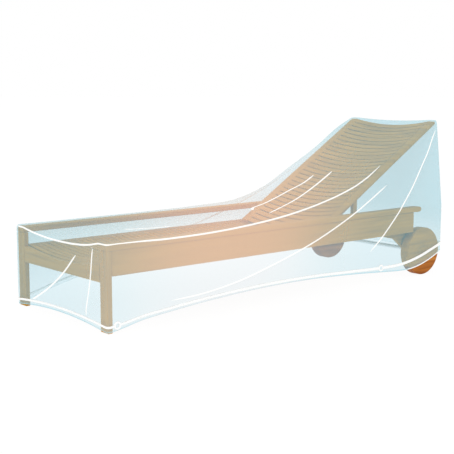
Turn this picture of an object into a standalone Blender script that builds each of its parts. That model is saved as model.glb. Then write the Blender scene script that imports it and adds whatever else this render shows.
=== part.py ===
"""A clear film cover drawn over a slatted sun lounger with two wheels.

Metres, +Z up. +X runs from the foot end to the head end and -Y is the near side. The origin is on the
floor, under the middle of the cover. "Along" is measured from the foot end of the frame, and "across"
from its middle.
"""

import bmesh
import bpy
import numpy as np
from mathutils import Vector

# Frame of the lounger
FRAME_HALF_WIDTH = 0.350
RAIL_TOP = 0.350
RAIL_THICK = 0.025
RAIL_WIDE = 0.045
RAIL_END = 1.887
SEAT_TOP = 0.266
SIDE_BOARD_LOW = 0.225
SIDE_BOARD_THICK = 0.024
SIDE_BOARD_END = 1.829
BLOCK_START = 1.420
LEG_WIDE = 0.054
LEG_THICK = 0.022
FOOT_BOARD_LOW = 0.197
JOIN_GAP = 0.0003
SOFT_EDGE = 0.0025

# Slats
SLAT_GAP = 0.0035
DISH_STEPS = 6
SEAT_START = 0.032
SEAT_SLATS = 38
SEAT_PITCH = 0.0316
SEAT_DISH = 0.022
SLAT_THICK = 0.018
BEARER_WIDE = 0.028
BEARER_LOW = 0.228

# Cross boards, besides the one at the foot end
PROP_RAIL_ALONG = (1.448, 1.502)
PROP_RAIL_LOW = 0.236
HEAD_BOARD_ALONG = (1.807, SIDE_BOARD_END)

# Backrest
BACK_PIVOT = 1.235
BACK_PIVOT_HEIGHT = 0.276
BACK_SLOPE = np.radians(31.2)
BACK_START = 0.002
BACK_SLATS = 29
BACK_PITCH = 0.0329
BACK_THICK = 0.014
BACK_HALF_WIDTH = 0.286
STILE_WIDE = 0.045
BACK_DISH = 0.024
PROP_PLACE = 1.462
PROP_WIDE = 0.026
PROP_THICK = 0.022
PROP_SET_IN = 0.008
PIVOT_BLOCK_ALONG = (1.240, 1.290)
PIVOT_BLOCK_HEIGHT = (0.238, 0.264)

# Wheels and their brackets, which reach inwards from the frame's outer faces
WHEEL_PLACE = 1.912
WHEEL_RADIUS = 0.120
WHEEL_THICK = 0.052
WHEEL_EDGE = 0.004
WHEEL_SIDES = 36
HUB_RADIUS = 0.022
HUB_REACH = 0.057
AXLE_RADIUS = 0.009
AXLE_SIDES = 16
BRACKET_START = 1.515
BRACKET_INNER = HUB_REACH + 0.020
BRACKET_BEND = 1.600
BRACKET_DROP = (1.755, 0.190)
BRACKET_TOP_END = 1.860
BRACKET_NECK = 0.030
BRACKET_BELOW_AXLE = 0.030
BRACKET_ABOVE_AXLE = 0.034
SPACER_START = BRACKET_START + 0.020
SPACER_END = WHEEL_PLACE - WHEEL_RADIUS - 0.008

# Cover
FILM_THICK = 0.0015
FILM_STANDS_OFF = 0.008
CORNER_RADIUS = 0.018
FOLD_RADIUS = 0.012
FOLD_FADE = 0.4 * FOLD_RADIUS
DIAGONAL = np.sqrt(0.5)
RAIL_SHARE = 0.09
LEAST_LEAN = 0.050
COVER_START = -FILM_STANDS_OFF
COVER_END = 2.046
HEAD_LEAN = 0.019
SIDE_CELLS = 38
END_CELLS = 8
SKIRT_ROWS = 8
TAPE_WIDE = 0.012
TAPE_THICK = 0.0012
EYELET_OUTER = 0.0165
EYELET_INNER = 0.0085
EYELET_THICK = 0.0030
EYELET_EDGE = 0.0008
SLOT_DEEPER = 0.002
EYELET_SIDES = 24
EYELET_PLACES = {"foot": 0.043, "head": 1.587}

# The origin is halfway between the tape at the foot end and the film's top edge at the head end
MIDDLE = (COVER_START - FILM_THICK / 2 - JOIN_GAP - TAPE_THICK + COVER_END + HEAD_LEAN + FILM_THICK / 2) / 2

# How the cover lies, section by section from the foot end: the heights of its top edges over the near and
# the far rail, how far those edges are drawn in from the rail's outer face, and how deep the film sags
# between them
COVER_SECTIONS = (
    # along, near_edge, far_edge, drawn_in, sag
    (-0.008, 0.358, 0.357, -0.008, 0.024),
    (0.150, 0.357, 0.356, -0.008, 0.027),
    (0.300, 0.356, 0.356, -0.008, 0.029),
    (0.500, 0.359, 0.356, -0.008, 0.029),
    (0.750, 0.374, 0.357, -0.008, 0.026),
    (1.000, 0.408, 0.361, -0.006, 0.020),
    (1.250, 0.460, 0.376, 0.002, 0.012),
    (1.450, 0.524, 0.438, 0.012, 0.008),
    (1.600, 0.584, 0.520, 0.022, 0.007),
    (1.800, 0.667, 0.630, 0.036, 0.007),
    (1.950, 0.734, 0.727, 0.045, 0.008),
    (2.065, 0.781, 0.781, 0.052, 0.009),
)

# The hem, section by section: the height of the film's lower edge and of the tape's middle, on each side
HEM_SECTIONS = (
    # along, near_hem, near_tape, far_hem, far_tape
    (-0.008, 0.003, 0.026, 0.003, 0.026),
    (0.060, 0.014, 0.034, 0.019, 0.039),
    (0.150, 0.032, 0.049, 0.046, 0.063),
    (0.300, 0.048, 0.063, 0.082, 0.097),
    (0.500, 0.064, 0.078, 0.112, 0.126),
    (0.800, 0.078, 0.091, 0.128, 0.141),
    (1.100, 0.078, 0.091, 0.130, 0.143),
    (1.400, 0.064, 0.080, 0.126, 0.142),
    (1.600, 0.050, 0.073, 0.120, 0.140),
    (1.720, 0.042, 0.074, 0.120, 0.142),
    (1.800, 0.041, 0.084, 0.120, 0.144),
    (1.880, 0.053, 0.101, 0.120, 0.146),
    (1.960, 0.077, 0.125, 0.117, 0.148),
    (2.046, 0.112, 0.152, 0.112, 0.152),
)
FOOT_HEM_RISE = 0.025
FOOT_TAPE_RISE = 0.020

# The rows of an upright panel's points on which the tape's edges lie
TAPE_LOW_ROW = 1
TAPE_HIGH_ROW = 2

# A direction that no seam runs square to, so that it puts the points of every seam in one order
SEAM_ORDER = np.array([0.8, 0.5, 0.3])

# Which way each panel's rows and columns turn: 1 where their order faces outwards, -1 where it faces in
OUTER_FACE = {
    "cover_top": 1,
    "cover_side_near": -1,
    "cover_side_far": 1,
    "cover_foot_end": 1,
    "cover_head_end": -1,
}

# Folds of the film, each a soft ridge along a line of points, with its height and half of its width
NEAR_FOLDS = (
    # points (along, height), ridge, half_width
    (((1.63, 0.48), (1.37, 0.35), (1.14, 0.26), (0.87, 0.18), (0.62, 0.12), (0.30, 0.09)), 0.006, 0.030),
    (((2.02, 0.70), (1.96, 0.63), (1.82, 0.46), (1.72, 0.36), (1.63, 0.27), (1.50, 0.17)), 0.006, 0.030),
)
FAR_FOLDS = (
    # points (along, height), ridge, half_width
    (((1.66, 0.52), (1.42, 0.40), (1.16, 0.31), (0.88, 0.24)), 0.006, 0.030),
    (((1.96, 0.70), (1.87, 0.54), (1.74, 0.38), (1.62, 0.27)), 0.006, 0.030),
)
FOOT_FOLDS = (
    # points (across, height), ridge, half_width
    (((-0.14, 0.29), (-0.06, 0.21), (0.05, 0.13), (0.22, 0.06)), 0.006, 0.026),
    (((-0.26, 0.32), (-0.25, 0.21), (-0.20, 0.07)), 0.006, 0.024),
)
TOP_FOLDS = (
    # points (along, across), ridge, half_width
    (((0.38, 0.08), (0.51, -0.02)), 0.004, 0.030),
    (((1.06, 0.00), (1.14, 0.01), (1.24, 0.03), (1.35, 0.04), (1.51, 0.04)), 0.006, 0.034),
    (((0.93, -0.25), (1.03, -0.22), (1.15, -0.17), (1.30, -0.12), (1.54, -0.06)), 0.006, 0.034),
)


def clear_scene():
    for thing in list(bpy.data.objects):
        bpy.data.objects.remove(thing, do_unlink=True)


def make_material(name, colour, roughness, alpha=1.0):
    material = bpy.data.materials.new(name)
    material.use_nodes = True
    shader = material.node_tree.nodes["Principled BSDF"]
    shader.inputs["Base Color"].default_value = (*colour, 1.0)
    shader.inputs["Roughness"].default_value = roughness
    shader.inputs["Metallic"].default_value = 0.0
    shader.inputs["Alpha"].default_value = alpha
    return material


def add_piece(name, points, faces, material):
    """Makes one named object from points in along, across and height, all in metres."""
    mesh = bpy.data.meshes.new(name)
    mesh.from_pydata([tuple(map(float, p)) for p in points], [], [tuple(map(int, f)) for f in faces])
    mesh.materials.append(material)
    piece = bpy.data.objects.new(name, mesh)
    piece.location.x = -MIDDLE
    bpy.context.scene.collection.objects.link(piece)
    return piece


def face_outwards(piece):
    shape = bmesh.new()
    shape.from_mesh(piece.data)
    bmesh.ops.recalc_face_normals(shape, faces=shape.faces)
    shape.to_mesh(piece.data)
    shape.free()


def soften(piece, width=SOFT_EDGE):
    """Takes the sharp edge off a board."""
    bevel = piece.modifiers.new("Soft edges", "BEVEL")
    bevel.width = width
    bevel.segments = 1
    bevel.limit_method = "ANGLE"
    bevel.angle_limit = np.radians(40)


def add_board(name, along, across, height, material, soft=True):
    """A plain board, given by its lowest and highest place along, across and in height."""
    points = [(x, y, z) for x in along for y in across for z in height]
    faces = ((0, 1, 3, 2), (4, 6, 7, 5), (0, 4, 5, 1), (2, 3, 7, 6), (0, 2, 6, 4), (1, 5, 7, 3))
    piece = add_piece(name, points, faces, material)
    if soft:
        soften(piece)
    return piece


def add_profile_board(name, outline, across, material):
    """A board sawn to an outline of (along, height) points, from one place across to another."""
    count = len(outline)
    points = [(x, y, z) for y in across for x, z in outline]
    ring = range(count)
    faces = [tuple(ring), tuple(count + i for i in reversed(ring))]
    faces += [(i, i + count, (i + 1) % count + count, (i + 1) % count) for i in ring]
    piece = add_piece(name, points, faces, material)
    face_outwards(piece)
    soften(piece)
    return piece


def add_turned(name, profile, sides, place, material):
    """A turned piece: (radius, out) points swept round an axis, with a flat side facing straight down."""
    turn = 2 * np.pi * (np.arange(sides) + 0.5) / sides
    wide = np.cos(np.pi / sides)
    rings = []
    for radius, out in profile:
        spread = radius / wide
        rings += [(spread * np.sin(a), out, -spread * np.cos(a)) for a in turn]
    count = len(profile)
    faces = []
    for k in range(count - 1):
        for i in range(sides):
            j = (i + 1) % sides
            faces.append((k * sides + i, k * sides + j, (k + 1) * sides + j, (k + 1) * sides + i))
    if profile[0] != profile[-1]:
        faces.append(tuple(range(sides)))
        faces.append(tuple((count - 1) * sides + i for i in range(sides)))
    piece = add_piece(name, rings, faces, material)
    if profile[0] == profile[-1]:
        shape = bmesh.new()
        shape.from_mesh(piece.data)
        bmesh.ops.remove_doubles(shape, verts=shape.verts, dist=1e-6)
        shape.to_mesh(piece.data)
        shape.free()
    face_outwards(piece)
    piece.location += Vector(place)
    piece.data.shade_smooth()
    piece.data.set_sharp_from_angle(angle=np.radians(35))
    return piece


def add_cells(name, cuts, filled, place, material):
    """One closed body from the filled cells of a grid, whose cuts lie along, across and through it.

    A face is made only between a filled cell and an empty one, so that touching cells are one body. The
    place function bends the grid's points into the shape of the piece.
    """
    size = [len(c) for c in cuts]
    solid = np.zeros([n + 1 for n in size], bool)
    solid[1:-1, 1:-1, 1:-1] = filled
    used = {}

    def corner(i, j, k):
        return used.setdefault((i, j, k), len(used))

    faces = []
    for i, j, k in np.argwhere(solid):
        a, b, c = i - 1, j - 1, k - 1
        sides = (
            ((1, 0, 0), ((a + 1, b, c), (a + 1, b + 1, c), (a + 1, b + 1, c + 1), (a + 1, b, c + 1))),
            ((-1, 0, 0), ((a, b, c), (a, b, c + 1), (a, b + 1, c + 1), (a, b + 1, c))),
            ((0, 1, 0), ((a, b + 1, c), (a, b + 1, c + 1), (a + 1, b + 1, c + 1), (a + 1, b + 1, c))),
            ((0, -1, 0), ((a, b, c), (a + 1, b, c), (a + 1, b, c + 1), (a, b, c + 1))),
            ((0, 0, 1), ((a, b, c + 1), (a + 1, b, c + 1), (a + 1, b + 1, c + 1), (a, b + 1, c + 1))),
            ((0, 0, -1), ((a, b, c), (a, b + 1, c), (a + 1, b + 1, c), (a + 1, b, c))),
        )
        for (di, dj, dk), corners in sides:
            if not solid[i + di, j + dj, k + dk]:
                faces.append([corner(*p) for p in corners])
    points = [place(cuts[0][i], cuts[1][j], cuts[2][k]) for i, j, k in used]
    return add_piece(name, points, faces, material)


def smooth_column(table, column, where):
    """One column of a table read between its rows, on a smooth curve through them."""
    rows = np.array(table, float)
    x, y = rows[:, 0], rows[:, column]
    slope = np.gradient(y, x)
    i = np.clip(np.searchsorted(x, where) - 1, 0, len(x) - 2)
    step = x[i + 1] - x[i]
    t = np.clip((where - x[i]) / step, 0, 1)
    start = y[i] * (1 + 2 * t) * (1 - t) ** 2 + step * slope[i] * t * (1 - t) ** 2
    end = y[i + 1] * t * t * (3 - 2 * t) - step * slope[i + 1] * t * t * (1 - t)
    return start + end


def slat_cuts(start, count, pitch):
    """Where slats and the gaps between them begin and end, and which of those stretches are slats."""
    cuts = []
    for i in range(count):
        cuts += [start + i * pitch, start + (i + 1) * pitch - SLAT_GAP]
    return np.array(cuts), np.arange(2 * count - 1) % 2 == 0


def dish_cuts(inner, outer):
    """Places across a dished row of slats: the straight part at each side, and steps over the dish."""
    return np.array([-outer, *np.linspace(-inner, inner, DISH_STEPS + 1), outer])


def dished(across, inner, depth):
    """How far a slat lies below its ends at one place across: an arch from one bearer to the other."""
    return depth * max(0.0, 1 - (across / inner) ** 2)


def seat_edges():
    """Where the seat's bearers end towards the middle and at the side boards."""
    outer = FRAME_HALF_WIDTH - SIDE_BOARD_THICK - JOIN_GAP
    return outer - BEARER_WIDE, outer


def make_seat(wood):
    """Slats dished across the seat, on a straight bearer at each side, as one body."""
    along, slat = slat_cuts(SEAT_START, SEAT_SLATS, SEAT_PITCH)
    inner, outer = seat_edges()
    across = dish_cuts(inner, outer)
    height = np.array([BEARER_LOW, SEAT_TOP - SLAT_THICK, SEAT_TOP])
    filled = np.zeros((len(slat), len(across) - 1, 2), bool)
    filled[:, 0, 0] = filled[:, -1, 0] = True
    filled[slat, :, 1] = True

    def place(x, y, z):
        return x, y, z - dished(y, inner, SEAT_DISH)

    return add_cells("seat_slats", (along, across, height), filled, place, wood)


def back_point(up, across, out):
    """A point of the backrest: up its slope from the pivot, across it, and out from its upper face."""
    x = BACK_PIVOT + up * np.cos(BACK_SLOPE) - out * np.sin(BACK_SLOPE)
    z = BACK_PIVOT_HEIGHT + up * np.sin(BACK_SLOPE) + out * np.cos(BACK_SLOPE)
    return x, across, z


def make_backrest(wood):
    """Slats dished across the back, between two straight stiles, as one body."""
    up, slat = slat_cuts(BACK_START, BACK_SLATS, BACK_PITCH)
    inner = BACK_HALF_WIDTH - STILE_WIDE
    across = dish_cuts(inner, BACK_HALF_WIDTH)
    out = np.array([-BACK_THICK, 0.0])
    filled = np.zeros((len(slat), len(across) - 1, 1), bool)
    filled[slat] = True
    filled[:, 0] = filled[:, -1] = True

    def place(u, y, w):
        x, y, z = back_point(u, y, w)
        return x, y, z - dished(y, inner, BACK_DISH)

    return add_cells("backrest", (up, across, out), filled, place, wood)


def under_back(along):
    """The height just under the backrest's stiles."""
    drop = (BACK_THICK + JOIN_GAP) / np.cos(BACK_SLOPE)
    return BACK_PIVOT_HEIGHT + (along - BACK_PIVOT) * np.tan(BACK_SLOPE) - drop


def rail_outline():
    """The top rail from the side: square at the foot end, half round at the handle end."""
    low, high = RAIL_TOP - RAIL_THICK, RAIL_TOP
    turn = np.radians(np.linspace(-75, 75, 6))
    radius = RAIL_THICK / 2
    centre = RAIL_END - radius
    nose = [(centre + radius * np.cos(a), low + radius + radius * np.sin(a)) for a in turn]
    return [(0.0, low), (centre, low), *nose, (centre, high), (0.0, high)]


def make_side(side, sign, wood):
    """The legs, boards and rail of one long side. The sign is -1 for the near side."""

    def across(inner, outer):
        return sorted((sign * (FRAME_HALF_WIDTH - inner), sign * (FRAME_HALF_WIDTH - outer)))

    under_rail = RAIL_TOP - RAIL_THICK - JOIN_GAP
    add_board(f"leg_{side}", (0.0, LEG_THICK), across(0.0, LEG_WIDE), (0.0, under_rail), wood)
    add_profile_board(f"top_rail_{side}", rail_outline(), across(0.0, RAIL_WIDE), wood)
    # The near side is closed by one wide board. On the far side it is low, with a block at the head end.
    closed = sign < 0
    board_along = (LEG_THICK + JOIN_GAP, SIDE_BOARD_END)
    board_high = under_rail if closed else SEAT_TOP
    board_across = across(0.0, SIDE_BOARD_THICK)
    add_board(f"side_board_{side}", board_along, board_across, (SIDE_BOARD_LOW, board_high), wood)
    if not closed:
        block_along = (BLOCK_START, SIDE_BOARD_END)
        add_board(f"rear_block_{side}", block_along, board_across, (SEAT_TOP + JOIN_GAP, under_rail), wood)
    add_board(
        f"spacer_{side}",
        (SPACER_START, SPACER_END),
        across(SIDE_BOARD_THICK + JOIN_GAP, HUB_REACH - JOIN_GAP),
        (SIDE_BOARD_LOW, SEAT_TOP),
        wood,
        soft=False,
    )
    bracket = (
        (BRACKET_START, SIDE_BOARD_LOW),
        (BRACKET_BEND, SIDE_BOARD_LOW),
        BRACKET_DROP,
        (WHEEL_PLACE - BRACKET_NECK, WHEEL_RADIUS - BRACKET_BELOW_AXLE),
        (WHEEL_PLACE + BRACKET_NECK, WHEEL_RADIUS - BRACKET_BELOW_AXLE),
        (WHEEL_PLACE + BRACKET_NECK, WHEEL_RADIUS + BRACKET_ABOVE_AXLE),
        (BRACKET_TOP_END, SEAT_TOP),
        (BRACKET_START, SEAT_TOP),
    )
    add_profile_board(f"wheel_bracket_{side}", bracket, across(HUB_REACH, BRACKET_INNER), wood)
    foot, top = PROP_PLACE, PROP_PLACE + PROP_WIDE
    prop = (
        (foot, SEAT_TOP + JOIN_GAP),
        (top, SEAT_TOP + JOIN_GAP),
        (top, under_back(top)),
        (foot, under_back(foot)),
    )
    stile_face = FRAME_HALF_WIDTH - BACK_HALF_WIDTH
    pivot_across = across(SIDE_BOARD_THICK + JOIN_GAP, stile_face - JOIN_GAP)
    add_board(f"pivot_block_{side}", PIVOT_BLOCK_ALONG, pivot_across, PIVOT_BLOCK_HEIGHT, wood)
    prop_outer = stile_face + PROP_SET_IN
    add_profile_board(f"prop_{side}", prop, across(prop_outer, prop_outer + PROP_THICK), wood)


def make_foot_board(wood):
    """The board between the foot-end legs, its upper edge dished like the seat's slats."""
    reach = FRAME_HALF_WIDTH - LEG_WIDE - JOIN_GAP
    inner, _ = seat_edges()
    along = np.array([0.0, LEG_THICK])
    across = np.linspace(-reach, reach, DISH_STEPS + 1)
    height = np.array([FOOT_BOARD_LOW, SEAT_TOP])

    def place(x, y, z):
        return x, y, z - dished(y, inner, SEAT_DISH) * (z == SEAT_TOP)

    add_cells("foot_board", (along, across, height), np.ones((1, DISH_STEPS, 1), bool), place, wood)


def make_cross_boards(wood):
    """The other boards that run from side to side, each between the faces that hold its ends."""
    boards = (
        # name, held_at, along, low
        ("prop_rail", SIDE_BOARD_THICK, PROP_RAIL_ALONG, PROP_RAIL_LOW),
        ("head_board", BRACKET_INNER, HEAD_BOARD_ALONG, SIDE_BOARD_LOW),
    )
    for name, held_at, along, low in boards:
        reach = FRAME_HALF_WIDTH - held_at - JOIN_GAP
        add_board(name, along, (-reach, reach), (low, SEAT_TOP), wood)


def make_wheels(wood, steel):
    """Two turned wheels, each with a hub that meets its bracket, and the axle between the brackets."""
    profile = (
        (WHEEL_RADIUS - WHEEL_EDGE, 0.0),
        (WHEEL_RADIUS, WHEEL_EDGE),
        (WHEEL_RADIUS, WHEEL_THICK - WHEEL_EDGE),
        (WHEEL_RADIUS - WHEEL_EDGE, WHEEL_THICK),
        (HUB_RADIUS, WHEEL_THICK),
        (HUB_RADIUS, HUB_REACH - JOIN_GAP),
    )
    for side, sign in (("near", -1), ("far", 1)):
        outline = [(radius, -sign * inward) for radius, inward in profile]
        place = (WHEEL_PLACE, sign * FRAME_HALF_WIDTH, WHEEL_RADIUS)
        add_turned(f"wheel_{side}", outline, WHEEL_SIDES, place, wood)
    reach = FRAME_HALF_WIDTH - BRACKET_INNER - JOIN_GAP
    axle = ((AXLE_RADIUS, -reach), (AXLE_RADIUS, reach))
    add_turned("axle", axle, AXLE_SIDES, (WHEEL_PLACE, 0.0, WHEEL_RADIUS), steel)


def edge_stations(start, end, cells):
    """Places along one edge of a rounded rectangle, and how far each is drawn in where a corner turns."""
    turn = np.radians([45.0, 22.5])
    arc = CORNER_RADIUS * (1 - np.sin(turn))
    drawn = CORNER_RADIUS * (1 - np.cos(turn))
    straight = np.linspace(start + CORNER_RADIUS, end - CORNER_RADIUS, cells + 1)
    places = np.concatenate([start + arc, straight, end - arc[::-1]])
    inward = np.concatenate([drawn, 0 * straight, drawn[::-1]])
    return places, inward


def fold_height(folds, first, second):
    """How much each point is raised by the folds, given as rows of points, ridge and half width."""
    total = np.zeros(first.shape)
    for line, ridge, half_width in folds:
        line = np.array(line, float)
        nearest = np.full(first.shape, np.inf)
        along_fold = np.zeros(first.shape)
        for n, (a, b) in enumerate(zip(line[:-1], line[1:])):
            run = b - a
            t = np.clip(((first - a[0]) * run[0] + (second - a[1]) * run[1]) / (run @ run), 0, 1)
            away = np.hypot(first - a[0] - t * run[0], second - a[1] - t * run[1])
            along_fold = np.where(away < nearest, (n + t) / (len(line) - 1), along_fold)
            nearest = np.minimum(nearest, away)
        taper = np.sqrt(np.sin(np.pi * along_fold))
        total += ridge * taper * np.exp(-((nearest / half_width) ** 2))
    return total


def cover_top():
    """The points of the cover's top, from the foot end to the head end and from the near edge to the far."""
    hem_along, inward = edge_stations(COVER_START, COVER_END, SIDE_CELLS)
    on_the_back = np.clip((hem_along - BACK_PIVOT) / (COVER_END - BACK_PIVOT), 0, 1)
    along = hem_along + HEAD_LEAN * on_the_back
    drawn_in = smooth_column(COVER_SECTIONS, 3, along)
    near = drawn_in - FRAME_HALF_WIDTH + inward
    foot_half = FRAME_HALF_WIDTH - COVER_SECTIONS[0][3]
    head_half = FRAME_HALF_WIDTH - COVER_SECTIONS[-1][3]
    foot_across, foot_inward = edge_stations(-foot_half, foot_half, END_CELLS)
    head_across, head_inward = edge_stations(-head_half, head_half, END_CELLS)
    u = ((along - along[0]) / (along[-1] - along[0]))[:, None]
    v = ((foot_across - foot_across[0]) / (foot_across[-1] - foot_across[0]))[None, :]
    # Each inner point is blended from the four edges
    foot_edge = (COVER_START + foot_inward)[None, :]
    head_edge = (COVER_END + HEAD_LEAN - head_inward)[None, :]
    x = (1 - u) * (foot_edge - along[0]) + u * (head_edge - along[-1]) + along[:, None]
    middle = (1 - u) * foot_across[None, :] + u * head_across[None, :]
    y = (1 - v) * (near[:, None] - middle[:, :1]) - v * (near[:, None] + middle[:, -1:]) + middle
    near_edge = smooth_column(COVER_SECTIONS, 1, x)
    far_edge = smooth_column(COVER_SECTIONS, 2, x)
    sag = smooth_column(COVER_SECTIONS, 4, x)
    # Over a rail the film lies straight. It sags in between, and rounds off at the very edge.
    inside = np.clip((v - RAIL_SHARE) / (1 - 2 * RAIL_SHARE), 0, 1)
    from_edge = np.minimum(v, 1 - v) * 2 * FRAME_HALF_WIDTH
    round_off = (1 - DIAGONAL) * FOLD_RADIUS * np.exp(-from_edge / FOLD_FADE)
    z = (1 - v) * near_edge + v * far_edge - sag * 4 * inside * (1 - inside) - round_off
    return np.stack([x, y, z], axis=-1)


def skirt(top_edge, low_along, low_across, hem, tape):
    """The points of one upright panel, row by row from the hem up to its top edge.

    Up to the rail it hangs upright on the line given by low_along and low_across. Above the rail it leans in
    to the top edge. The second and third rows are the lower and upper edge of the tape.
    """
    top = top_edge[:, 2] - DIAGONAL * FOLD_RADIUS
    tape_low = tape - TAPE_WIDE / 2
    tape_high = tape + TAPE_WIDE / 2
    share = np.linspace(0, 1, SKIRT_ROWS + 1)[:, None]
    heights = np.concatenate([[hem], [tape_low], tape_high + share * (top - tape_high)])
    lean = np.clip((heights - RAIL_TOP) / np.maximum(top_edge[:, 2] - RAIL_TOP, LEAST_LEAN), 0, 1)
    x = low_along + lean * (top_edge[:, 0] - low_along)
    y = low_across + lean * (top_edge[:, 1] - low_across)
    panel = np.stack([x, y, heights], axis=-1)
    return np.concatenate([panel, top_edge[None]])


def cover_panels():
    """The cover's five panels as grids of points: the top, and each upright panel from its hem upwards."""
    top = cover_top()
    half = FRAME_HALF_WIDTH + FILM_STANDS_OFF
    along, inward = edge_stations(COVER_START, COVER_END, SIDE_CELLS)
    across, end_inward = edge_stations(-half, half, END_CELLS)
    part = (across - across[0]) / (across[-1] - across[0])
    arch = 4 * part * (1 - part)
    near_hem, near_tape, far_hem, far_tape = (smooth_column(HEM_SECTIONS, k, along) for k in (1, 2, 3, 4))

    def across_end(row, near_side, far_side):
        return near_side[row] + part * (far_side[row] - near_side[row])

    near = skirt(top[:, 0], along, inward - half, near_hem, near_tape)
    far = skirt(top[:, -1], along, half - inward, far_hem, far_tape)
    foot_hem = across_end(0, near_hem, far_hem) + FOOT_HEM_RISE * arch
    foot_tape = across_end(0, near_tape, far_tape) + FOOT_TAPE_RISE * arch
    foot = skirt(top[0], COVER_START + end_inward, across, foot_hem, foot_tape)
    head_hem = across_end(-1, near_hem, far_hem)
    head_tape = across_end(-1, near_tape, far_tape)
    head = skirt(top[-1], COVER_END - end_inward, across, head_hem, head_tape)
    return {
        "cover_top": top,
        "cover_side_near": near,
        "cover_side_far": far,
        "cover_foot_end": foot,
        "cover_head_end": head,
    }


def shared_normals(panels):
    """The outward direction at each point of each panel, one and the same where panels meet."""
    total = {}
    for name, grid in panels.items():
        face = np.cross(grid[1:, 1:] - grid[:-1, :-1], grid[:-1, 1:] - grid[1:, :-1]) * OUTER_FACE[name]
        sums = np.zeros(grid.shape)
        for rows, columns in ((0, 0), (0, 1), (1, 0), (1, 1)):
            sums[rows : rows + face.shape[0], columns : columns + face.shape[1]] += face
        for point, direction in zip(grid.reshape(-1, 3), sums.reshape(-1, 3)):
            key = tuple(np.round(point, 5))
            total[key] = total.get(key, 0) + direction
    normals = {}
    for name, grid in panels.items():
        found = np.array([total[tuple(np.round(p, 5))] for p in grid.reshape(-1, 3)]).reshape(grid.shape)
        normals[name] = found / np.linalg.norm(found, axis=-1, keepdims=True)
    return normals


def raise_folds(panels, normals):
    """The panels with their folds raised, always outwards. Seams, hem and tape stay as they are."""
    # Each panel's folds, and the two axes in which their points are given
    folds = {
        "cover_top": (TOP_FOLDS, 0, 1),
        "cover_side_near": (NEAR_FOLDS, 0, 2),
        "cover_side_far": (FAR_FOLDS, 0, 2),
        "cover_foot_end": (FOOT_FOLDS, 1, 2),
        "cover_head_end": ((), 1, 2),
    }
    raised = {}
    for name, grid in panels.items():
        rows, first, second = folds[name]
        lift = fold_height(rows, grid[..., first], grid[..., second])
        first_free_row = 1 if name == "cover_top" else TAPE_HIGH_ROW + 1
        lift[:first_free_row] = 0
        lift[-1] = 0
        lift[:, [0, -1]] = 0
        raised[name] = grid + normals[name] * lift[..., None]
    return raised


def add_film_panel(name, grid, normal, film):
    """One panel as a closed sheet. Every edge but the hem is drawn back from the seam by half the gap."""
    grid = grid.copy()
    seams = [(np.s_[-1], np.s_[-2]), (np.s_[:, 0], np.s_[:, 1]), (np.s_[:, -1], np.s_[:, -2])]
    if name == "cover_top":
        seams.append((np.s_[0], np.s_[1]))
    for here, beside in seams:
        back = grid[beside] - grid[here]
        grid[here] = grid[here] + JOIN_GAP / 2 * back / np.linalg.norm(back, axis=-1, keepdims=True)
    rows, columns = grid.shape[:2]
    count = rows * columns
    half = normal * FILM_THICK / 2
    points = np.concatenate([(grid + half).reshape(-1, 3), (grid - half).reshape(-1, 3)])
    at = np.arange(count).reshape(rows, columns)
    a, b, c, d = (q.ravel() for q in (at[:-1, :-1], at[1:, :-1], at[1:, 1:], at[:-1, 1:]))
    outer = np.concatenate([np.stack([a, b, c], 1), np.stack([a, c, d], 1)])
    rim = np.concatenate([at[:, 0], at[-1, 1:], at[-2::-1, -1], at[0, -2:0:-1]])
    after = np.roll(rim, -1)
    # The rims of two panels at a seam are split along like diagonals, and so don't cross where they twist
    order = points[:count] @ SEAM_ORDER
    forwards = (order[rim] < order[after])[:, None]
    corners = rim, after, rim + count, after + count
    one_way = [np.stack([corners[k] for k in face], 1) for face in ((0, 2, 3), (0, 3, 1))]
    other_way = [np.stack([corners[k] for k in face], 1) for face in ((0, 2, 1), (1, 2, 3))]
    wall = [np.where(forwards, one, other) for one, other in zip(one_way, other_way)]
    faces = np.concatenate([outer, outer[:, ::-1] + count, *wall])
    piece = add_piece(name, points, faces, film)
    face_outwards(piece)
    piece.data.shade_smooth()
    piece.data.set_sharp_from_angle(angle=np.radians(50))
    return piece


def tape_loop(panels, normals):
    """The tape's lower and upper edge round the whole cover, with the outward direction at each point."""

    def round_the_cover(grids, row):
        near = grids["cover_side_near"][row, :-1]
        head = grids["cover_head_end"][row, :-1]
        far = grids["cover_side_far"][row, :0:-1]
        foot = grids["cover_foot_end"][row, :0:-1]
        return np.concatenate([near, head, far, foot])

    rows = (TAPE_LOW_ROW, TAPE_HIGH_ROW)
    return [(round_the_cover(panels, row), round_the_cover(normals, row)) for row in rows]


def make_tape(panels, normals, webbing):
    """The hem tape: one closed band just outside the film."""
    (low, low_out), (high, high_out) = tape_loop(panels, normals)
    inner = FILM_THICK / 2 + JOIN_GAP
    outer = inner + TAPE_THICK
    count = len(low)
    inner_edges = [low + low_out * inner, high + high_out * inner]
    outer_edges = [high + high_out * outer, low + low_out * outer]
    points = np.concatenate(inner_edges + outer_edges)
    here = np.arange(count)
    after = np.roll(here, -1)
    faces = []
    for k in range(4):
        edge, next_edge = k * count, (k + 1) % 4 * count
        faces.append(np.stack([here + edge, here + next_edge, after + next_edge], 1))
        faces.append(np.stack([here + edge, after + next_edge, after + edge], 1))
    piece = add_piece("hem_tape", points, np.concatenate(faces), webbing)
    face_outwards(piece)
    return piece


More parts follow.
